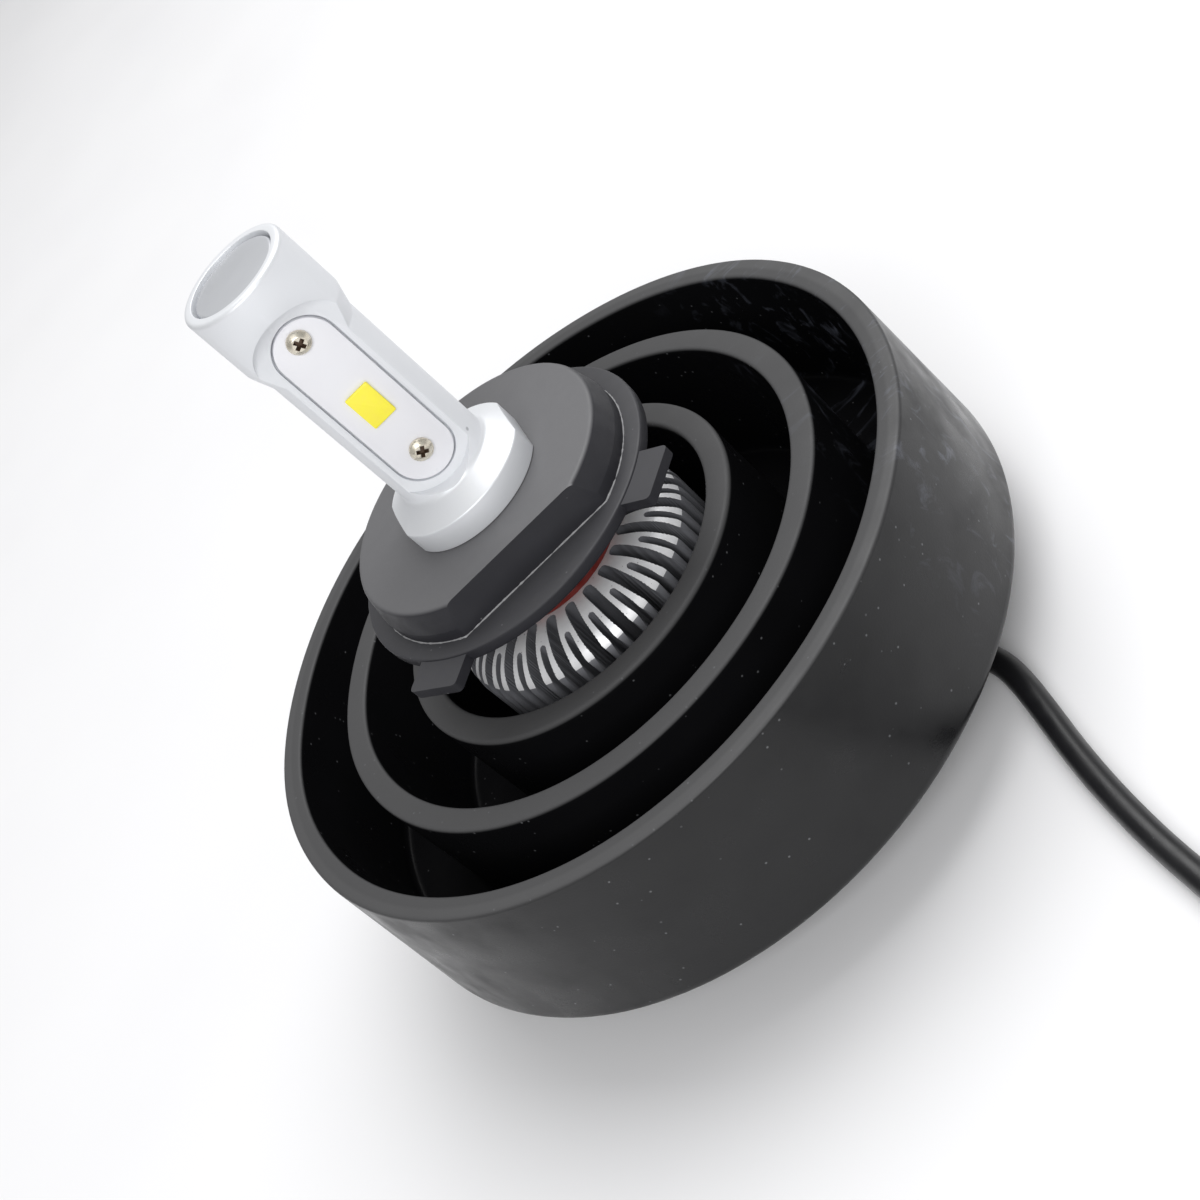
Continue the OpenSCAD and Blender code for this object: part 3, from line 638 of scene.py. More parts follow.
@dataclass
class Studio:
    """The camera, the pale floor and the soft lights."""

    azimuth: float = 9.0
    elevation: float = 34.34
    roll: float = -48.87
    distance: float = 306.8 * MM
    aim_height: float = 42 * MM
    aim_right: float = 5.4 * MM
    aim_up: float = -5.1 * MM
    lens: float = 60.0
    sensor: float = 36.0
    floor_size: float = 6.0

    def build_camera(self) -> None:
        """Sets the camera at the picture's angle, rolled as it was held."""
        a, e, roll = (math.radians(x) for x in (self.azimuth, self.elevation, self.roll))
        ahead = Vector((-math.sin(a) * math.cos(e), math.cos(a) * math.cos(e), -math.sin(e)))
        level = Vector((math.cos(a), math.sin(a), 0))
        above = level.cross(ahead)
        right = level * math.cos(roll) + above * math.sin(roll)
        up = above * math.cos(roll) - level * math.sin(roll)
        data = bpy.data.cameras.new("camera")
        data.lens, data.sensor_width = self.lens, self.sensor
        data.clip_start, data.clip_end = 0.01, 20
        camera = bpy.data.objects.new("camera", data)
        bpy.context.scene.collection.objects.link(camera)
        eye = Vector((0, 0, self.aim_height)) + right * self.aim_right + up * self.aim_up
        eye -= ahead * self.distance
        turn = Matrix((right, up, -ahead)).transposed().to_4x4()
        camera.matrix_world = Matrix.Translation(eye) @ turn
        bpy.context.scene.camera = camera

    def build_floor(self, paint: bpy.types.Material) -> None:
        """Lays the floor that the bulb stands on."""
        deselect_all()
        bpy.ops.mesh.primitive_plane_add(size=self.floor_size, location=(0, 0, -0.05 * MM))
        floor = bpy.context.object
        floor.name = "floor"
        floor.data.materials.append(paint)

    def add_softbox(
        self, name: str, at: tuple[float, float, float], size: float, height: float, power: float,
        colour: tuple[float, float, float] = (1, 1, 1),
    ) -> None:
        """A rectangular light that faces the bulb.

        Args:
            name: the light's name.
            at: its place in metres.
            size: its width in metres.
            height: its height in metres.
            power: its power in watts.
            colour: its colour.
        """
        data = bpy.data.lights.new(name, "AREA")
        data.shape, data.size, data.size_y = "RECTANGLE", size, height
        data.energy, data.color = power, colour
        light = bpy.data.objects.new(name, data)
        bpy.context.scene.collection.objects.link(light)
        light.location = at
        light.rotation_euler = (Vector((0, 0, 0.05)) - Vector(at)).to_track_quat("-Z", "Y").to_euler()

    def build_lights(self) -> None:
        """An overhead softbox behind on the right, a fill in front, and a pale surround."""
        self.add_softbox("key", (0.32, 0.34, 0.85), 0.9, 0.9, 8.5)
        self.add_softbox("front_fill", (-0.1, -0.8, 0.62), 0.7, 0.5, 6.0)
        world = bpy.data.worlds.new("surround")
        world.use_nodes = True
        world.node_tree.nodes["Background"].inputs["Color"].default_value = (1, 1, 1, 1)
        world.node_tree.nodes["Background"].inputs["Strength"].default_value = 0.3
        bpy.context.scene.world = world
        bpy.context.scene.view_settings.view_transform = "Standard"


# ---------------------------------------------------------------------------
# Lead
# ---------------------------------------------------------------------------


@dataclass
class Lead:
    """The cable: out of its boot, under the cover, once round a coil and into its plug."""

    diameter: float = 4 * MM
    outlet_angle: float = -40.0
    outlet_height: float = 4.6 * MM
    boot_root: float = 22.1 * MM
    boot_tip: float = 31 * MM
    run: tuple[tuple[float, float, float], ...] = (
        (0.0238, -0.0199, 0.0046), (0.0261, -0.0219, 0.0044), (0.0289, -0.0242, 0.0038),
        (0.0315, -0.0267, 0.0031), (0.0339, -0.0295, 0.0025), (0.0359, -0.0327, 0.0021),
        (0.0373, -0.0362, 0.002), (0.0381, -0.04, 0.002), (0.0382, -0.045, 0.002),
        (0.0379, -0.05, 0.002), (0.0375, -0.055, 0.002), (0.0371, -0.06, 0.002),
        (0.0368, -0.066, 0.002), (0.0367, -0.072, 0.002), (0.0368, -0.078, 0.002),
        (0.0371, -0.084, 0.002), (0.0376, -0.09, 0.002), (0.0381, -0.096, 0.002),
        (0.0384, -0.102, 0.002), (0.0385, -0.107, 0.002), (0.0385, -0.112, 0.002),
    )
    coil_centre: tuple[float, float] = (0.063, -0.112)
    coil_outer: float = 24.5 * MM
    coil_inner: float = 20.2 * MM
    coil_steps: int = 72
    climb_from: float = 0.82
    tail: tuple[tuple[float, float, float], ...] = (
        (0.0428, -0.112, 0.0045), (0.0428, -0.116, 0.0056), (0.0428, -0.12, 0.0062),
        (0.0428, -0.124, 0.0064), (0.0428, -0.128, 0.0064), (0.0428, -0.132, 0.0061),
        (0.0428, -0.136, 0.0057), (0.0428, -0.14, 0.0055),
    )

    def coil(self) -> list[Vector]:
        """Points of the coil's one turn, which winds inwards and climbs at its end."""
        points = []
        rest, top = self.run[-1][2], self.tail[0][2]
        for k in range(1, self.coil_steps):
            t = k / self.coil_steps
            angle = math.pi + math.tau * t
            r = self.coil_outer + (self.coil_inner - self.coil_outer) * t
            lift = max(0.0, (t - self.climb_from) / (1 - self.climb_from))
            height = rest + (top - rest) * lift * lift * (3 - 2 * lift)
            x, y = self.coil_centre
            points.append(Vector((x + r * math.cos(angle), y + r * math.sin(angle), height)))
        return points

    @staticmethod
    def smooth(route: Sequence[Sequence[float]], steps: int = 4) -> list[Vector]:
        """Points of a smooth curve through a route's points."""
        knots = [Vector(p) for p in route]
        curve = []
        for i in range(len(knots) - 1):
            a, b, c, d = knots[max(i - 1, 0)], knots[i], knots[i + 1], knots[min(i + 2, len(knots) - 1)]
            for k in range(steps):
                t = k / steps
                curve.append(
                    0.5 * (2 * b + (c - a) * t + (2 * a - 5 * b + 4 * c - d) * t**2 + (3 * b - a - 3 * c + d) * t**3)
                )
        return curve + [knots[-1]]

    def build_cable(self, paint: bpy.types.Material) -> bpy.types.Object:
        """The cable as one curve with a round section."""
        points = self.smooth(self.run) + self.coil() + self.smooth(self.tail)
        for point in points:
            point.z = max(point.z, self.diameter / 2 + 0.01 * MM)
        data = bpy.data.curves.new("lead_cable", "CURVE")
        data.dimensions = "3D"
        data.bevel_depth, data.bevel_resolution = self.diameter / 2, 6
        data.use_fill_caps = True
        spline = data.splines.new("POLY")
        spline.points.add(len(points) - 1)
        for point, where in zip(spline.points, points):
            point.co = (*where, 1)
        spline.use_smooth = True
        cable = bpy.data.objects.new("lead_cable", data)
        bpy.context.scene.collection.objects.link(cable)
        data.materials.append(paint)
        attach(cable, Body.BULB.value)
        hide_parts("cord_run", "cord_coil", "cord_tail")
        length = sum((b - a).length for a, b in zip(points, points[1:]))
        LOG.info("the cable is %.1f mm long", length / MM)
        return cable

    def build_boot(self, paint: bpy.types.Material) -> bpy.types.Object:
        """The tapered boot with its grip rings."""
        root, tip = self.boot_root, self.boot_tip
        inner = 18.4 * MM
        corners: list[Corner] = [
            (1.9 * MM, inner, 0), (2.7 * MM, inner, 0.2 * MM), (2.7 * MM, 20 * MM, 0), (2.35 * MM, 20 * MM, 0),
            (2.35 * MM, root, 0), (3.4 * MM, root, 0.3 * MM), (3.4 * MM, root + 1.2 * MM, 0.4 * MM),
        ]
        rings, start = 4, root + 1.6 * MM
        pitch = (tip - 0.9 * MM - start) / rings
        for i in range(rings):
            z = start + i * pitch
            r = 3.05 * MM - 0.16 * MM * i
            corners += [
                (r - 0.42 * MM, z, 0.1 * MM), (r, z + 0.25 * pitch, 0.15 * MM),
                (r, z + 0.7 * pitch, 0.15 * MM), (r - 0.46 * MM, z + 0.95 * pitch, 0.1 * MM),
            ]
        corners += [(2.5 * MM, tip - 0.5 * MM, 0.2 * MM), (2.4 * MM, tip, 0.2 * MM), (1.9 * MM, tip, 0)]
        boot = turned("cable_boot_ribbed", rounded(corners, 3), 48)
        swing = turn_z(self.outlet_angle)
        lift = Matrix.Translation((0, 0, self.outlet_height))
        place(boot, swing @ lift @ Matrix.Rotation(math.pi / 2, 4, "Y"))
        shade(boot, 50)
        hand_over(boot, Body.BULB, "cable_black", ["cable_boot"], paint)
        return boot

    def build_plug(self, paints: Paints) -> list[bpy.types.Object]:
        """The plug: a shell with a grip and a latch, its seal and its two blades."""
        low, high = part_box("plug_shell")
        body_top = low.z + 11 * MM
        middle = (low.x + high.x) / 2
        wide = (high.x - low.x) / 2
        outline = rounded([
            (middle - wide, low.z, 1.6 * MM), (middle + wide, low.z, 1.6 * MM),
            (middle + wide, body_top, 1.6 * MM), (middle - wide, body_top, 1.6 * MM),
        ])
        to_y = Matrix(((1, 0, 0, 0), (0, 0, 1, 0), (0, 1, 0, 0), (0, 0, 0, 1)))
        shell = place(extruded("plug_case", outline, low.y, high.y), to_y)
        close_up(shell)
        wall = 1.4 * MM
        hollow = rounded([
            (middle - wide + wall, low.z + wall, 1 * MM), (middle + wide - wall, low.z + wall, 1 * MM),
            (middle + wide - wall, body_top - wall, 1 * MM), (middle - wide + wall, body_top - wall, 1 * MM),
        ])
        mouth = place(extruded("plug_mouth", hollow, low.y - 2 * MM, low.y + 13 * MM), to_y)
        close_up(mouth)
        carve(shell, mouth)
        for i in range(5):
            y = high.y - (2.4 + 1.3 * i) * MM
            for side in (-1, 1):
                deselect_all()
                bpy.ops.mesh.primitive_cube_add(size=1, location=(middle + side * wide, y, low.z + 5.5 * MM))
                groove = bpy.context.object
                groove.scale = (0.8 * MM, 0.6 * MM, 7 * MM)
                bpy.ops.object.transform_apply(location=True, rotation=True, scale=True)
                carve(shell, groove)
        latch_outline = [
            (low.y + 6 * MM, body_top - 0.2 * MM), (low.y + 11 * MM, body_top - 0.2 * MM),
            (low.y + 10.2 * MM, high.z), (low.y + 8.6 * MM, high.z),
        ]
        latch = extruded("plug_latch", latch_outline, middle - 2.2 * MM, middle + 2.2 * MM)
        place(latch, Matrix(((0, 0, 1, 0), (1, 0, 0, 0), (0, 1, 0, 0), (0, 0, 0, 1))))
        close_up(latch)
        carve(shell, latch, "UNION")
        soften(shell, 0.2 * MM, 2, 40)
        shade(shell)
        hand_over(shell, Body.BULB, "housing_black", ["plug_shell"], paints.get("housing_black"))

        seal_low, seal_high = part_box("plug_seal")
        ring = rounded([
            (seal_low.x, seal_low.z, 0.8 * MM), (seal_high.x, seal_low.z, 0.8 * MM),
            (seal_high.x, seal_high.z, 0.8 * MM), (seal_low.x, seal_high.z, 0.8 * MM),
        ])
        seal = place(extruded("plug_gasket", ring, seal_low.y, seal_high.y), to_y)
        close_up(seal)
        edit_all(seal, lambda: bpy.ops.mesh.normals_make_consistent(inside=False))
        bore = [(middle + (x - middle) * 0.8, low.z + 5.5 * MM + (z - low.z - 5.5 * MM) * 0.75) for x, z in ring]
        core = place(extruded("gasket_core", bore, seal_low.y - 1 * MM, seal_high.y + 1 * MM), to_y)
        close_up(core)
        carve(seal, core)
        soften(seal, 0.15 * MM, 2, 40)
        shade(seal)
        hand_over(seal, Body.BULB, "seal_red", ["plug_seal"], paints.get("seal_red"))

        blade_low, blade_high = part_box("plug_blades")
        blades = []
        for side in (-1, 1):
            deselect_all()
            centre = (middle + side * 2.5 * MM, (blade_low.y + blade_high.y) / 2, low.z + 5.5 * MM)
            bpy.ops.mesh.primitive_cube_add(size=1, location=centre)
            blade = bpy.context.object
            blade.scale = (2.8 * MM, blade_high.y - blade_low.y, 0.8 * MM)
            bpy.ops.object.transform_apply(location=True, rotation=True, scale=True)
            for vertex in blade.data.vertices:
                if vertex.co.y < blade_low.y + 1e-4:
                    vertex.co.z = centre[2] + (vertex.co.z - centre[2]) * 0.4
                    vertex.co.x = centre[0] + (vertex.co.x - centre[0]) * 0.7
            blades.append(blade)
        pair = joined("plug_pins", blades)
        soften(pair, 0.12 * MM, 2, 20)
        shade(pair)
        hand_over(pair, Body.BULB, "blade_brass", ["plug_blades"], paints.get("blade_brass"))
        return [shell, seal, pair]

    def build(self, paints: Paints) -> None:
        cable = self.build_cable(paints.get("cable_black"))
        on_it = self.build_plug(paints)
        on_it.append(self.build_boot(paints.get("cable_black")))


# ---------------------------------------------------------------------------
# Dust cover
# ---------------------------------------------------------------------------


@dataclass
class DustCover:
    """The moulded rubber cover: an outer wall, a middle ring and a collar on one round back."""

    lip_radius: float = 22.05 * MM
    collar_outer: float = 31.2 * MM
    collar_inner: float = 26.8 * MM
    ring_outer: float = 45.9 * MM
    ring_inner: float = 41.7 * MM
    wall_inner: float = 56.1 * MM
    rim_radius: float = 60 * MM
    back_radius: float = 61.4 * MM
    back_thickness: float = 3.2 * MM
    lip_height: float = 4 * MM
    steps: int = 176

    def outline(self, low: float, rim: float, collar_rim: float) -> list[Point]:
        """The cover's section, from the lip out to the wall and back in."""
        floor = low + self.back_thickness
        edge, corner = 0.7 * MM, 1.3 * MM
        return rounded([
            (self.lip_radius, low, 0.4 * MM), (self.back_radius, low, 1.8 * MM),
            (self.rim_radius, rim, edge), (self.wall_inner, rim, edge),
            (self.back_radius - 4.5 * MM, floor, corner), (self.ring_outer, floor, corner),
            (self.ring_outer, rim, edge), (self.ring_inner, rim, edge),
            (self.ring_inner, floor, corner), (self.collar_outer, floor, corner),
            (self.collar_outer, collar_rim, edge), (self.collar_inner, collar_rim, edge),
            (self.collar_inner, low + self.lip_height, corner), (self.lip_radius, low + self.lip_height, 0.5 * MM),
        ], 5)

    def build(self, paints: Paints) -> None:
        """Spins the section and adds the slight waviness of moulded rubber."""
        low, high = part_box("dust_cover")
        rim = high.z - 0.4 * MM
        cover = turned("rubber_dust_cover", self.outline(low.z, rim, high.z), self.steps)
        for vertex in cover.data.vertices:
            r = math.hypot(vertex.co.x, vertex.co.y)
            if r < self.collar_inner + 1 * MM:
                continue
            up = max(0.0, (vertex.co.z - low.z) / (rim - low.z))
            sway = noise.noise(Vector((vertex.co.x, vertex.co.y, vertex.co.z * 0.3)) / (24 * MM))
            out = 1 + 0.22 * MM * sway * up / r
            vertex.co.x *= out
            vertex.co.y *= out
        shade(cover, 50)
        hand_over(cover, Body.COVER, "cover_rubber", ["dust_cover"], paints.get("cover_rubber"))


# ---------------------------------------------------------------------------
# Heat sink
# ---------------------------------------------------------------------------


@dataclass
class HeatSink:
    """The extruded sink: forked fins with serrated walls and a domed front, turned bright."""

    outer: float = 22 * MM
    hub: float = 13 * MM
    bore: float = 8.02 * MM
    fins: int = 24
    gap: float = 1.85 * MM
    fork_gap: float = 1.05 * MM
    fork_from: float = 17.3 * MM
    front_drop: float = 6.4 * MM
    tooth_pitch: float = 0.46 * MM
    tooth_depth: float = 0.13 * MM
    rows: int = 46

    def front_height(self, r: float, top: float) -> float:
        """Height of the turned front at a radius."""
        t = min(max((r - self.hub) / (self.outer - self.hub), 0.0), 1.0)
        return top - self.front_drop * (1 - math.sqrt(max(0.0, 1 - t * t)))

    def half_gap(self, r: float, start: float, width: float, tooth: float) -> float:
        """Half the angle that a round-rooted slot takes at a radius.

        Args:
            r: the radius.
            start: the radius of the slot's root.
            width: the slot's width.
            tooth: how far a serration narrows the fin there.

        Returns:
            The angle in radians, 0 below the root.
        """
        half = width / 2
        centre = start + half
        if r <= start:
            return 0.0
        if r < math.hypot(centre, half):
            cosine = (r * r + centre * centre - half * half) / (2 * r * centre)
            return math.acos(min(1.0, cosine))
        return math.asin((half + tooth) / r)

    def edges(self, r: float) -> tuple[float, float]:
        """The two edges of half a fin at a radius, as angles from the fin's middle."""
        phase = (r - self.hub) / self.tooth_pitch % 1.0
        tooth = self.tooth_depth * (1 - abs(2 * phase - 1)) * (r > self.hub + 1.3 * MM)
        pitch = math.pi / self.fins
        inner = self.half_gap(r, self.fork_from, self.fork_gap, tooth * 0.5)
        outer = pitch - self.half_gap(r, self.hub, self.gap, tooth)
        if r > self.fork_from + self.fork_gap:
            middle, half = (inner + outer) / 2, (outer - inner) / 2
            half *= 0.92 + 0.14 * math.exp(-(((r - self.outer + 0.8 * MM) / (0.45 * MM)) ** 2))
            tip = max(0.0, (r - self.outer + 0.55 * MM) / (0.6 * MM))
            half *= math.sqrt(max(0.12, 1 - tip * tip))
            inner, outer = middle - half, middle + half
        return inner, outer

    def half_fin(self) -> bpy.types.Object:
        """The front of half a fin, flat, with its part of the hub."""
        deselect_all()
        bpy.ops.mesh.primitive_grid_add(x_subdivisions=self.rows, y_subdivisions=1, size=1)
        strip = bpy.context.object
        for vertex in strip.data.vertices:
            k = round((vertex.co.x + 0.5) * self.rows)
            if k < 2:
                r, angles = (self.bore, self.hub - 0.8 * MM)[k], (0.0, math.pi / self.fins)
            else:
                r = self.hub + (self.outer - self.hub) * (k - 2) / (self.rows - 2)
                angles = self.edges(r)
            angle = angles[vertex.co.y > 0]
            vertex.co = (r * math.cos(angle), r * math.sin(angle), 0)
        return strip

    def build(self, paints: Paints) -> None:
        """Copies the fins round, raises them and domes their front."""
        low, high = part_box("heat_sink")
        half = self.half_fin()
        flip = Matrix.Diagonal((1, -1, 1, 1))
        parts = [half]
        for i in range(self.fins):
            turn = turn_z(360 / self.fins * i)
            parts.append(copy_of(half, "fin", turn @ flip))
            if i:
                parts.append(copy_of(half, "fin", turn))
        sink = joined("finned_heat_sink", parts)
        place(sink, Matrix.Translation((0, 0, high.z)))
        edit_all(
            sink,
            lambda: bpy.ops.mesh.remove_doubles(threshold=WELD),
            lambda: bpy.ops.mesh.extrude_region_move(TRANSFORM_OT_translate={"value": (0, 0, low.z - high.z)}),
        )
        for vertex in sink.data.vertices:
            if vertex.co.z > (low.z + high.z) / 2:
                vertex.co.z = self.front_height(math.hypot(vertex.co.x, vertex.co.y), high.z)
        close_up(sink)
        shade(sink, 30)
        sink.data.materials.clear()
        sink.data.materials.append(paints.get("sink_dark"))
        sink.data.materials.append(paints.get("sink_bright"))
        # the turned front is bare metal; the walls take the anodising painted mid grey for the light in the fin gaps
        for face in sink.data.polygons:
            face.material_index = int(face.normal.z > 0.4 and face.center.z > low.z + 5 * MM)
        hand_over(sink, Body.BULB, "sink_aluminium", ["heat_sink"])


# ---------------------------------------------------------------------------
# Adapter
# ---------------------------------------------------------------------------


@dataclass
class Adapter:
    """The black locking adapter, its moulding flash and the red seal under it."""

    flange_radius: float = 26.6 * MM
    flange_thickness: float = 2 * MM
    seat_foot: float = 23.6 * MM
    seat_top: float = 22.7 * MM
    seat_height: float = 6.2 * MM
    flat_distance: float = 19.1 * MM
    tab_reach: float = 31.4 * MM
    tab_width: float = 9.4 * MM
    tab_angles: tuple[float, ...] = (-135.0, -45.0, 90.0)
    neck_radius: float = 12.4 * MM
    bore: float = 8.1 * MM

    def foot_outline(self, inset: float, steps: int = 96) -> list[Point]:
        """The seat's outline: a circle with one flat, its corners rounded off."""
        points = []
        for k in range(steps):
            a = math.tau * k / steps
            x, y = self.seat_foot * math.cos(a), self.seat_foot * math.sin(a)
            depth = -self.flat_distance - y
            if depth > 0:
                y = -self.flat_distance
            points.append((x * (1 - inset / self.seat_foot), y * (1 - inset / self.flat_distance)))
        return points

    def build_body(self, paints: Paints) -> None:
        """The adapter: seat, flange, tabs and neck as one moulding."""
        low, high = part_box("base_adapter")
        top, flange_low = high.z, high.z - self.seat_height - self.flange_thickness
        seat_low = flange_low + self.flange_thickness
        seat = turned("locking_adapter", rounded([
            (self.bore, seat_low - 1 * MM, 0), (self.seat_foot, seat_low - 1 * MM, 0),
            (self.seat_foot, seat_low + 2 * MM, 1 * MM), (self.seat_top, top, 0.9 * MM), (self.bore, top, 0),
        ], 5), 128)
        deselect_all()
        bpy.ops.mesh.primitive_cube_add(size=1, location=(0, -self.flat_distance - 10 * MM, seat_low + 10 * MM))
        block = bpy.context.object
        block.scale = (60 * MM, 20 * MM, 20 * MM)
        bpy.ops.object.transform_apply(location=True, rotation=True, scale=True)
        carve(seat, block)
        plate = turned("flange", rounded([
            (self.bore, flange_low, 0), (self.flange_radius, flange_low, 0.3 * MM),
            (self.flange_radius, seat_low, 0.4 * MM), (self.bore, seat_low, 0),
        ], 3), 128)
        carve(seat, plate, "UNION")
        for angle in self.tab_angles:
            half = self.tab_width / 2
            tab = extruded("tab", rounded([
                (18 * MM, -half, 0), (self.tab_reach, -half, 0.9 * MM), (self.tab_reach, half, 0.9 * MM),
                (18 * MM, half, 0),
            ]), flange_low, seat_low - 0.3 * MM)
            carve(seat, place(tab, turn_z(angle)), "UNION")
        neck = turned("neck", [
            (self.bore, low.z), (self.neck_radius, low.z), (self.neck_radius, flange_low + 0.5 * MM),
            (self.bore, flange_low + 0.5 * MM),
        ], 96)
        carve(seat, neck, "UNION")
        soften(seat, 0.25 * MM, 2, 38)
        shade(seat, 40)
        hand_over(seat, Body.BULB, "adapter_black", ["base_adapter"], paints.get("adapter_black"))

        ridge = []
        outline = self.foot_outline(-0.02 * MM, 260)
        for x, y in outline:
            rough = noise.noise(Vector((x, y, 0)) / (0.8 * MM)) + 0.6 * noise.noise(Vector((x, y, 1)) / (3 * MM))
            ridge.append((x, y, max(0.0, 0.13 * MM + 0.16 * MM * rough)))
        self.build_flash(ridge, seat_low, paints)

    def build_flash(self, ridge: Sequence[tuple[float, float, float]], base: float, paints: Paints) -> None:
        """The thin ragged line of flash where the mould closed at the seat's foot.

        Args:
            ridge: x, y and width of the flash round the seat.
            base: the height of the seat's foot.
            paints: the finishes.
        """
        data = bpy.data.curves.new("adapter_flash", "CURVE")
        data.dimensions = "3D"
        data.bevel_depth, data.bevel_resolution = 1.0, 1
        spline = data.splines.new("POLY")
        spline.points.add(len(ridge) - 1)
        for point, (x, y, width) in zip(spline.points, ridge):
            point.co = (x, y, base + 0.02 * MM, 1)
            point.radius = width + 0.01 * MM
        spline.use_cyclic_u = True
        flash = bpy.data.objects.new("adapter_flash", data)
        bpy.context.scene.collection.objects.link(flash)
        activate(flash)
        bpy.ops.object.convert(target="MESH")
        hand_over(flash, Body.BULB, "adapter_black", [], paints.get("flash_grey"))

    def build_seal(self, paints: Paints) -> None:
        """The red silicone seal, squeezed out a little by the clamp."""
        low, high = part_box("red_seal")
        wide = high.x
        seal = turned("silicone_seal", rounded([
            (self.bore, low.z, 0), (wide - 0.3 * MM, low.z, 0.3 * MM), (wide, (low.z + high.z) / 2, 1.1 * MM),
            (wide - 0.4 * MM, high.z, 0.3 * MM), (self.bore, high.z, 0),
        ], 5), 96)
        shade(seal, 50)
        hand_over(seal, Body.BULB, "seal_red", ["red_seal"], paints.get("seal_red"))

    def build(self, paints: Paints) -> None:
        """Builds the adapter and its seal."""
        self.build_body(paints)
        self.build_seal(paints)


# ---------------------------------------------------------------------------
# Lamp mast
# ---------------------------------------------------------------------------


@dataclass
class Mast:
    """The lamp's post with its tip cap, two LED boards and their screws."""

    post: float = 7.9 * MM
    head: float = 9 * MM
    head_height: float = 11.6 * MM
    neck_cone: float = 3.6 * MM
    foot: float = 12 * MM
    foot_ring: float = 4.1 * MM
    foot_height: float = 6.4 * MM
    spigot: float = 8 * MM
    flat: float = 5.2 * MM
    pocket_width: float = 15 * MM
    pocket_margin: float = 3.2 * MM
    cap: float = 7.1 * MM
    cap_gap: float = 0.35 * MM
    cap_depth: float = 2 * MM
    board_width: float = 9.4 * MM
    board_length: float = 32.3 * MM
    board_thickness: float = 1.2 * MM
    board_gap: float = 0.35 * MM
    screw_pitch: float = 24.5 * MM
    screw_head: float = 1.8 * MM
    foot_flats: float = 11 * MM

    @staticmethod
    def upright(height: float) -> Matrix:
        """Stands a plate made flat at z = 0 on edge, facing -Y, at a height on the mast."""
        return Matrix.Translation((0, 0, height)) @ Matrix.Rotation(math.pi / 2, 4, "X")

    def build_post(self, paints: Paints) -> None:
        """The post: turned, then milled flat on both sides with a recess for each board."""
        low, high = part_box("lamp_mast")
        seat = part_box("base_adapter")[1].z
        head_low = high.z - self.head_height
        mast = turned("lamp_post", rounded([
            (1.6 * MM, low.z, 0), (self.spigot - 0.2 * MM, low.z, 0.5 * MM), (self.spigot, seat + 0.05 * MM, 0),
            (self.foot, seat + 0.05 * MM, 0.25 * MM), (self.foot, seat + self.foot_ring + 0.1 * MM, 0.35 * MM),
            (self.post, seat + self.foot_height, 1.2 * MM),
            (self.post, head_low - self.neck_cone, 1.4 * MM), (self.head, head_low + 0.2 * MM, 1.6 * MM),
            (self.head, high.z, 0.9 * MM), (self.cap + self.cap_gap, high.z, 0.15 * MM),
            (self.cap + self.cap_gap, high.z - self.cap_depth, 0), (1.6 * MM, high.z - self.cap_depth, 0),
        ], 6), 128)
        board_low, board_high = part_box("led_board_front")
        middle = (board_low.z + board_high.z) / 2
        pocket_low = seat + self.foot_height
        pocket_high = middle + self.board_length / 2 + self.pocket_margin
        for side in (0, 180):
            pocket = extruded("pocket", stadium(self.pocket_width, pocket_high - pocket_low, 28), self.flat, 20 * MM)
            place(pocket, turn_z(side) @ self.upright((pocket_low + pocket_high) / 2))
            carve(mast, pocket)
            outline = stadium(self.board_width + 2 * self.board_gap, self.board_length + 2 * self.board_gap, 28)
            recess = extruded("recess", outline, self.flat - self.board_thickness + 0.1 * MM, 20 * MM)
            place(recess, turn_z(side) @ self.upright(middle))
            carve(mast, recess)
            deselect_all()
            bpy.ops.mesh.primitive_cube_add(
                size=1, location=(0, self.foot_flats + 5 * MM, seat + 2.5 * MM),
            )
            block = bpy.context.object
            block.scale = (40 * MM, 10 * MM, 8 * MM)
            bpy.ops.object.transform_apply(location=True, rotation=True, scale=True)
            place(block, turn_z(90 + side))
            carve(mast, block)
        soften(mast, 0.16 * MM, 2, 30)
        shade(mast, 40)
        hand_over(mast, Body.BULB, "mast_white", ["lamp_mast"], paints.get("mast_white"))

    def build_cap(self, paints: Paints) -> None:
        """The round cap let into the tip."""
        low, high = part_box("tip_cap")
        cap = turned("tip_disc", rounded([
            (0, high.z - 1.5 * MM, 0), (self.cap, high.z - 1.5 * MM, 0), (self.cap, high.z - 0.05 * MM, 0.45 * MM),
            (0, high.z, 0),
        ], 6), 96)
        shade(cap, 50)
        hand_over(cap, Body.BULB, "cap_grey", ["tip_cap"], paints.get("cap_grey"))

    def build_boards(self, paints: Paints) -> None:
        """The two white boards, each with its LED."""
        for name, side in (("front", 0), ("rear", 180)):
            low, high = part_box("led_board_front")
            middle = (low.z + high.z) / 2
            board = extruded(
                f"white_board_{name}", stadium(self.board_width, self.board_length, 28),
                self.flat - self.board_thickness + 0.1 * MM, self.flat + 0.1 * MM,
            )
            place(board, turn_z(side) @ self.upright(middle))
            soften(board, 0.12 * MM, 2, 40)
            shade(board)
            hand_over(board, Body.BULB, "board_white", [f"led_board_{name}"], paints.get("board_white"))

            chip_low, chip_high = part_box("led_chip_front")
            chip = extruded(f"yellow_led_{name}", rounded([
                (chip_low.x, chip_low.z, 0.25 * MM), (chip_high.x, chip_low.z, 0.25 * MM),
                (chip_high.x, chip_high.z, 0.25 * MM), (chip_low.x, chip_high.z, 0.25 * MM),
            ]), -chip_high.y, -chip_low.y)
            place(chip, turn_z(side) @ self.upright(0))
            soften(chip, 0.18 * MM, 3, 40)
            shade(chip)
            hand_over(chip, Body.BULB, "phosphor", [f"led_chip_{name}"], paints.get("phosphor"))

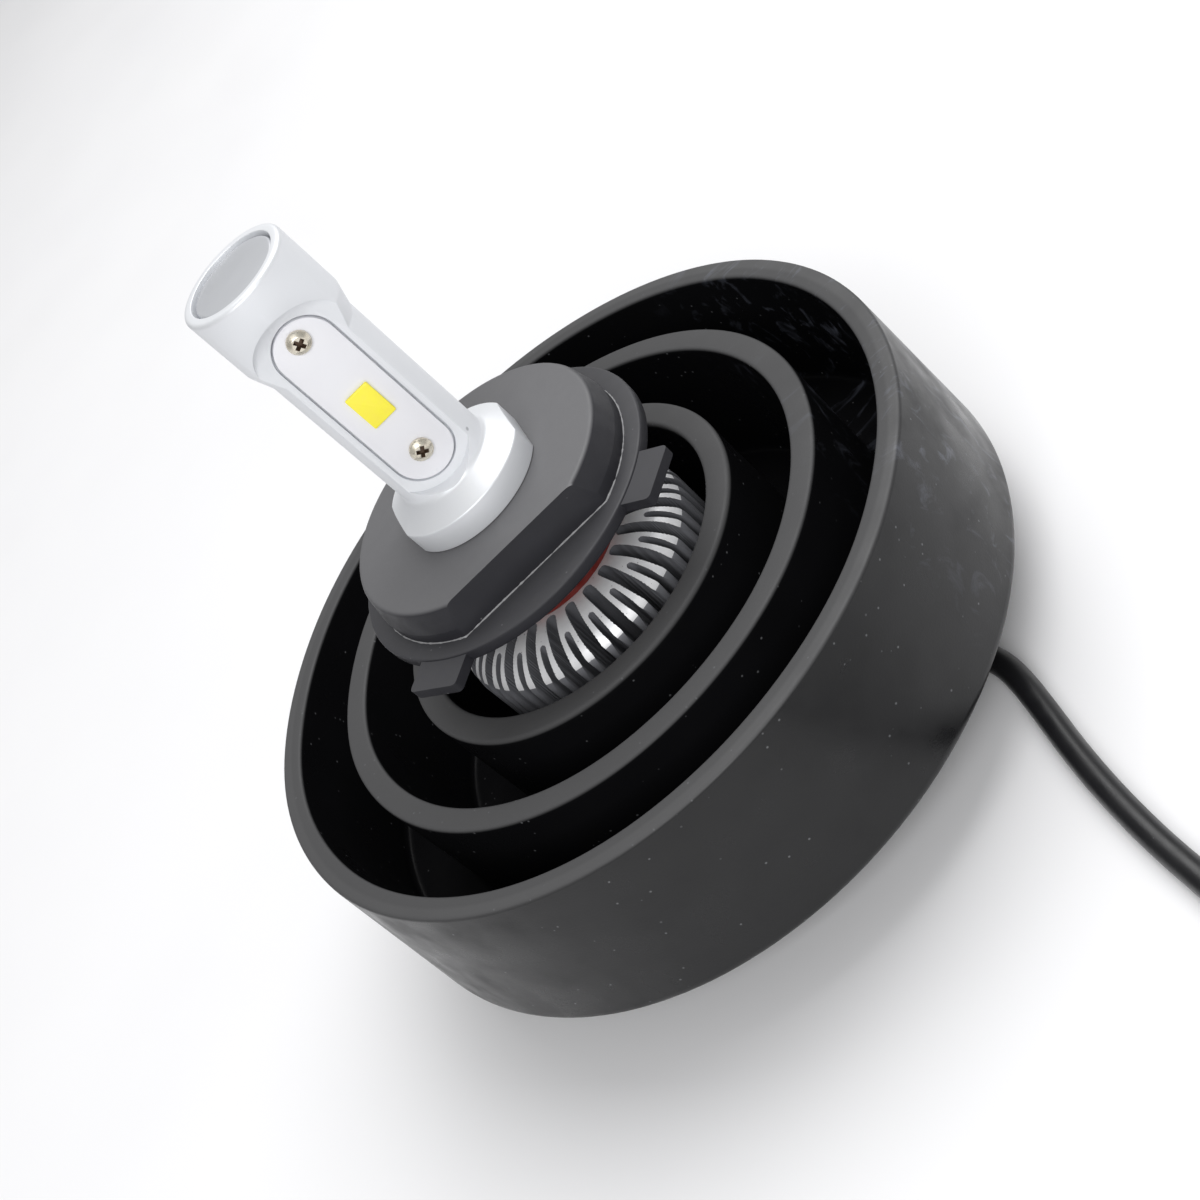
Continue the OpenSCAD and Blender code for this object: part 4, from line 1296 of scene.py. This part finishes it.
    @staticmethod
    def mark_recess(head: bpy.types.Object, paints: Paints) -> None:
        """Gives a screw its plating, and its recess a painted dark brown for the shade down in it."""
        head.data.materials.clear()
        head.data.materials.append(paints.get("screw_nickel"))
        head.data.materials.append(paints.get("recess_shade_brown"))
        for face in head.data.polygons:
            r = math.hypot(face.center.x, face.center.y)
            surface = 1.08 * MM - max(0.0, r - 1.0 * MM) * 0.8
            inside = 0.05 * MM < face.center.z < surface - 0.1 * MM and r < 1.4 * MM
            # painted shade: faces down in the cross recess take the dark brown
            face.material_index = int(inside)

    def build_screws(self, paints: Paints) -> None:
        """The pan-head screws with their cross recesses."""
        low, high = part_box("board_screws")
        middle = (low.z + high.z) / 2
        face = -low.y - 1.1 * MM
        head = turned("screw", rounded([
            (0, -3.2 * MM, 0), (0.8 * MM, -3.2 * MM, 0), (0.8 * MM, 0, 0), (self.screw_head, 0, 0.15 * MM),
            (self.screw_head, 0.5 * MM, 0.45 * MM), (1.1 * MM, 1.06 * MM, 0.5 * MM), (0, 1.1 * MM, 0),
        ], 5), 40)
        for turn in (0, 90):
            deselect_all()
            bpy.ops.mesh.primitive_cube_add(size=1, location=(0, 0, 0))
            slot = bpy.context.object
            slot.scale = (2.5 * MM, 0.62 * MM, 1.7 * MM)
            bpy.ops.object.transform_apply(location=True, rotation=True, scale=True)
            for vertex in slot.data.vertices:
                if vertex.co.z < 0:
                    vertex.co.x *= 0.45
            place(slot, Matrix.Translation((0, 0, 1.05 * MM)) @ turn_z(turn))
            carve(head, slot)
        soften(head, 0.06 * MM, 2, 40)
        self.mark_recess(head, paints)
        parts = []
        for i, (side, level) in enumerate(((0, 1), (0, -1), (180, 1), (180, -1))):
            at = self.upright(middle + level * self.screw_pitch / 2) @ Matrix.Translation((0, 0, face))
            parts.append(copy_of(head, "screw", turn_z(side) @ at @ turn_z(23 + 31 * i)))
        bpy.data.objects.remove(head)
        screws = joined("board_pan_screws", parts)
        shade(screws)
        hand_over(screws, Body.BULB, "screw_nickel", ["board_screws"])

    def build(self, paints: Paints) -> None:
        """Builds the mast and what it carries."""
        self.build_post(paints)
        self.build_cap(paints)
        self.build_boards(paints)
        self.build_screws(paints)


# ---------------------------------------------------------------------------
# Fan unit
# ---------------------------------------------------------------------------


@dataclass
class FanUnit:
    """The fan housing with its grille and screws, and the fan's working parts inside."""

    outer: float = 22 * MM
    wall: float = 1.8 * MM
    slot_rings: tuple[float, ...] = (9.4, 12.2, 15.0)
    slot_width: float = 1.9 * MM
    spoke: float = 1.3 * MM
    screw_angles: tuple[float, ...] = (37.5, 157.5, 277.5)
    screw_pitch: float = 19.6 * MM
    screw_head: float = 1.5 * MM

    def build_housing(self, paints: Paints) -> None:
        """The cup with its ring slots and screw posts."""
        low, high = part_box("fan_housing")
        inner = self.outer - self.wall
        cup = turned("fan_cup", rounded([
            (0, low.z, 0), (self.outer, low.z, 1.1 * MM), (self.outer, high.z, 0.3 * MM),
            (inner, high.z, 0.2 * MM), (inner, low.z + self.wall, 0.6 * MM), (0, low.z + self.wall, 0),
        ], 5), 128)
        for start in self.slot_rings:
            inside, outside = start * MM, start * MM + self.slot_width
            for i in range(6):
                spread = math.radians(60)
                trim = (self.spoke / 2 + 0.2 * MM)
                first = math.radians(7.5 + 60 * i)
                outline = [
                    (r * math.cos(a), r * math.sin(a))
                    for r, way in ((outside, 1), (inside, -1))
                    for a in (
                        first + trim / r + (spread - 2 * trim / r) * (k if way > 0 else 16 - k) / 16
                        for k in range(17)
                    )
                ]
                carve(cup, extruded("slot", outline, low.z - 1 * MM, low.z + self.wall + 1 * MM))
        for angle in self.screw_angles:
            at = turn_z(angle) @ Matrix.Translation((self.screw_pitch, 0, 0))
            post = turned("post", [(0.3 * MM, low.z + 0.9 * MM), (2.2 * MM, low.z + 0.9 * MM),
                                   (2.2 * MM, high.z - 0.3 * MM), (0.3 * MM, high.z - 0.3 * MM)], 32)
            carve(cup, place(post, at), "UNION")
            sink = turned("sink", [(0, low.z - 1 * MM), (1.65 * MM, low.z - 1 * MM), (1.65 * MM, low.z + 2 * MM),
                                   (1.1 * MM, low.z + 2 * MM), (1.1 * MM, high.z + 1 * MM), (0, high.z + 1 * MM)], 32)
            carve(cup, place(sink, at))
        soften(cup, 0.15 * MM, 2, 40)
        shade(cup, 40)
        hand_over(cup, Body.BULB, "housing_black", ["fan_housing"], paints.get("housing_black"))

    def build_screws(self, paints: Paints) -> None:
        """The three housing screws, heads down in their recesses."""
        low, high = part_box("housing_screws")
        head = turned("screw", rounded([
            (0, high.z, 0), (0.95 * MM, high.z, 0), (0.95 * MM, low.z + 1.3 * MM, 0),
            (self.screw_head, low.z + 1.25 * MM, 0.1 * MM), (self.screw_head, low.z + 0.45 * MM, 0.35 * MM),
            (0.9 * MM, low.z, 0.4 * MM), (0, low.z, 0),
        ], 4), 32)
        for turn in (0, 90):
            deselect_all()
            bpy.ops.mesh.primitive_cube_add(size=1, location=(0, 0, low.z))
            slot = bpy.context.object
            slot.scale = (1.7 * MM, 0.42 * MM, 1.3 * MM)
            bpy.ops.object.transform_apply(location=True, rotation=True, scale=True)
            carve(head, place(slot, turn_z(turn)))
        soften(head, 0.05 * MM, 2, 40)
        parts = [
            copy_of(head, "screw", turn_z(angle) @ Matrix.Translation((self.screw_pitch, 0, 0)) @ turn_z(20 + angle))
            for angle in self.screw_angles
        ]
        bpy.data.objects.remove(head)
        screws = joined("housing_pan_screws", parts)
        shade(screws)
        hand_over(screws, Body.BULB, "screw_nickel", ["housing_screws"], paints.get("screw_nickel"))

    def dress_inner_parts(self, paints: Paints) -> None:
        """Gives the working parts inside their real finishes."""
        finishes = {
            "mast_bolt": "bolt_steel", "driver_board": "board_green", "driver_parts": "component_dark",
            "fan_base": "housing_black", "fan_bearing": "bronze", "fan_stator": "stator_copper",
            "fan_rotor": "rotor_black", "fan_magnet": "magnet_dark", "fan_shaft": "shaft_steel",
            "inner_leads": "lead_red",
        }
        for node, finish in finishes.items():
            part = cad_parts[node]
            part.data.materials.clear()
            part.data.materials.append(paints.get(finish))
            LOG.info("%s wears %s", node, finish)

    def build(self, paints: Paints) -> None:
        """Builds the fan unit."""
        self.build_housing(paints)
        self.build_screws(paints)
        self.dress_inner_parts(paints)


def main() -> None:
    """Builds the studio and the bulb."""
    logging.basicConfig(level=logging.INFO, format="%(name)s: %(message)s")
    paints = Paints()
    studio = Studio()
    studio.build_camera()
    Lead().build(paints)
    DustCover().build(paints)
    HeatSink().build(paints)
    Adapter().build(paints)
    Mast().build(paints)
    FanUnit().build(paints)
    studio.build_floor(paints.get("floor_pale"))
    studio.build_lights()


if __name__ == "__main__":
    main()
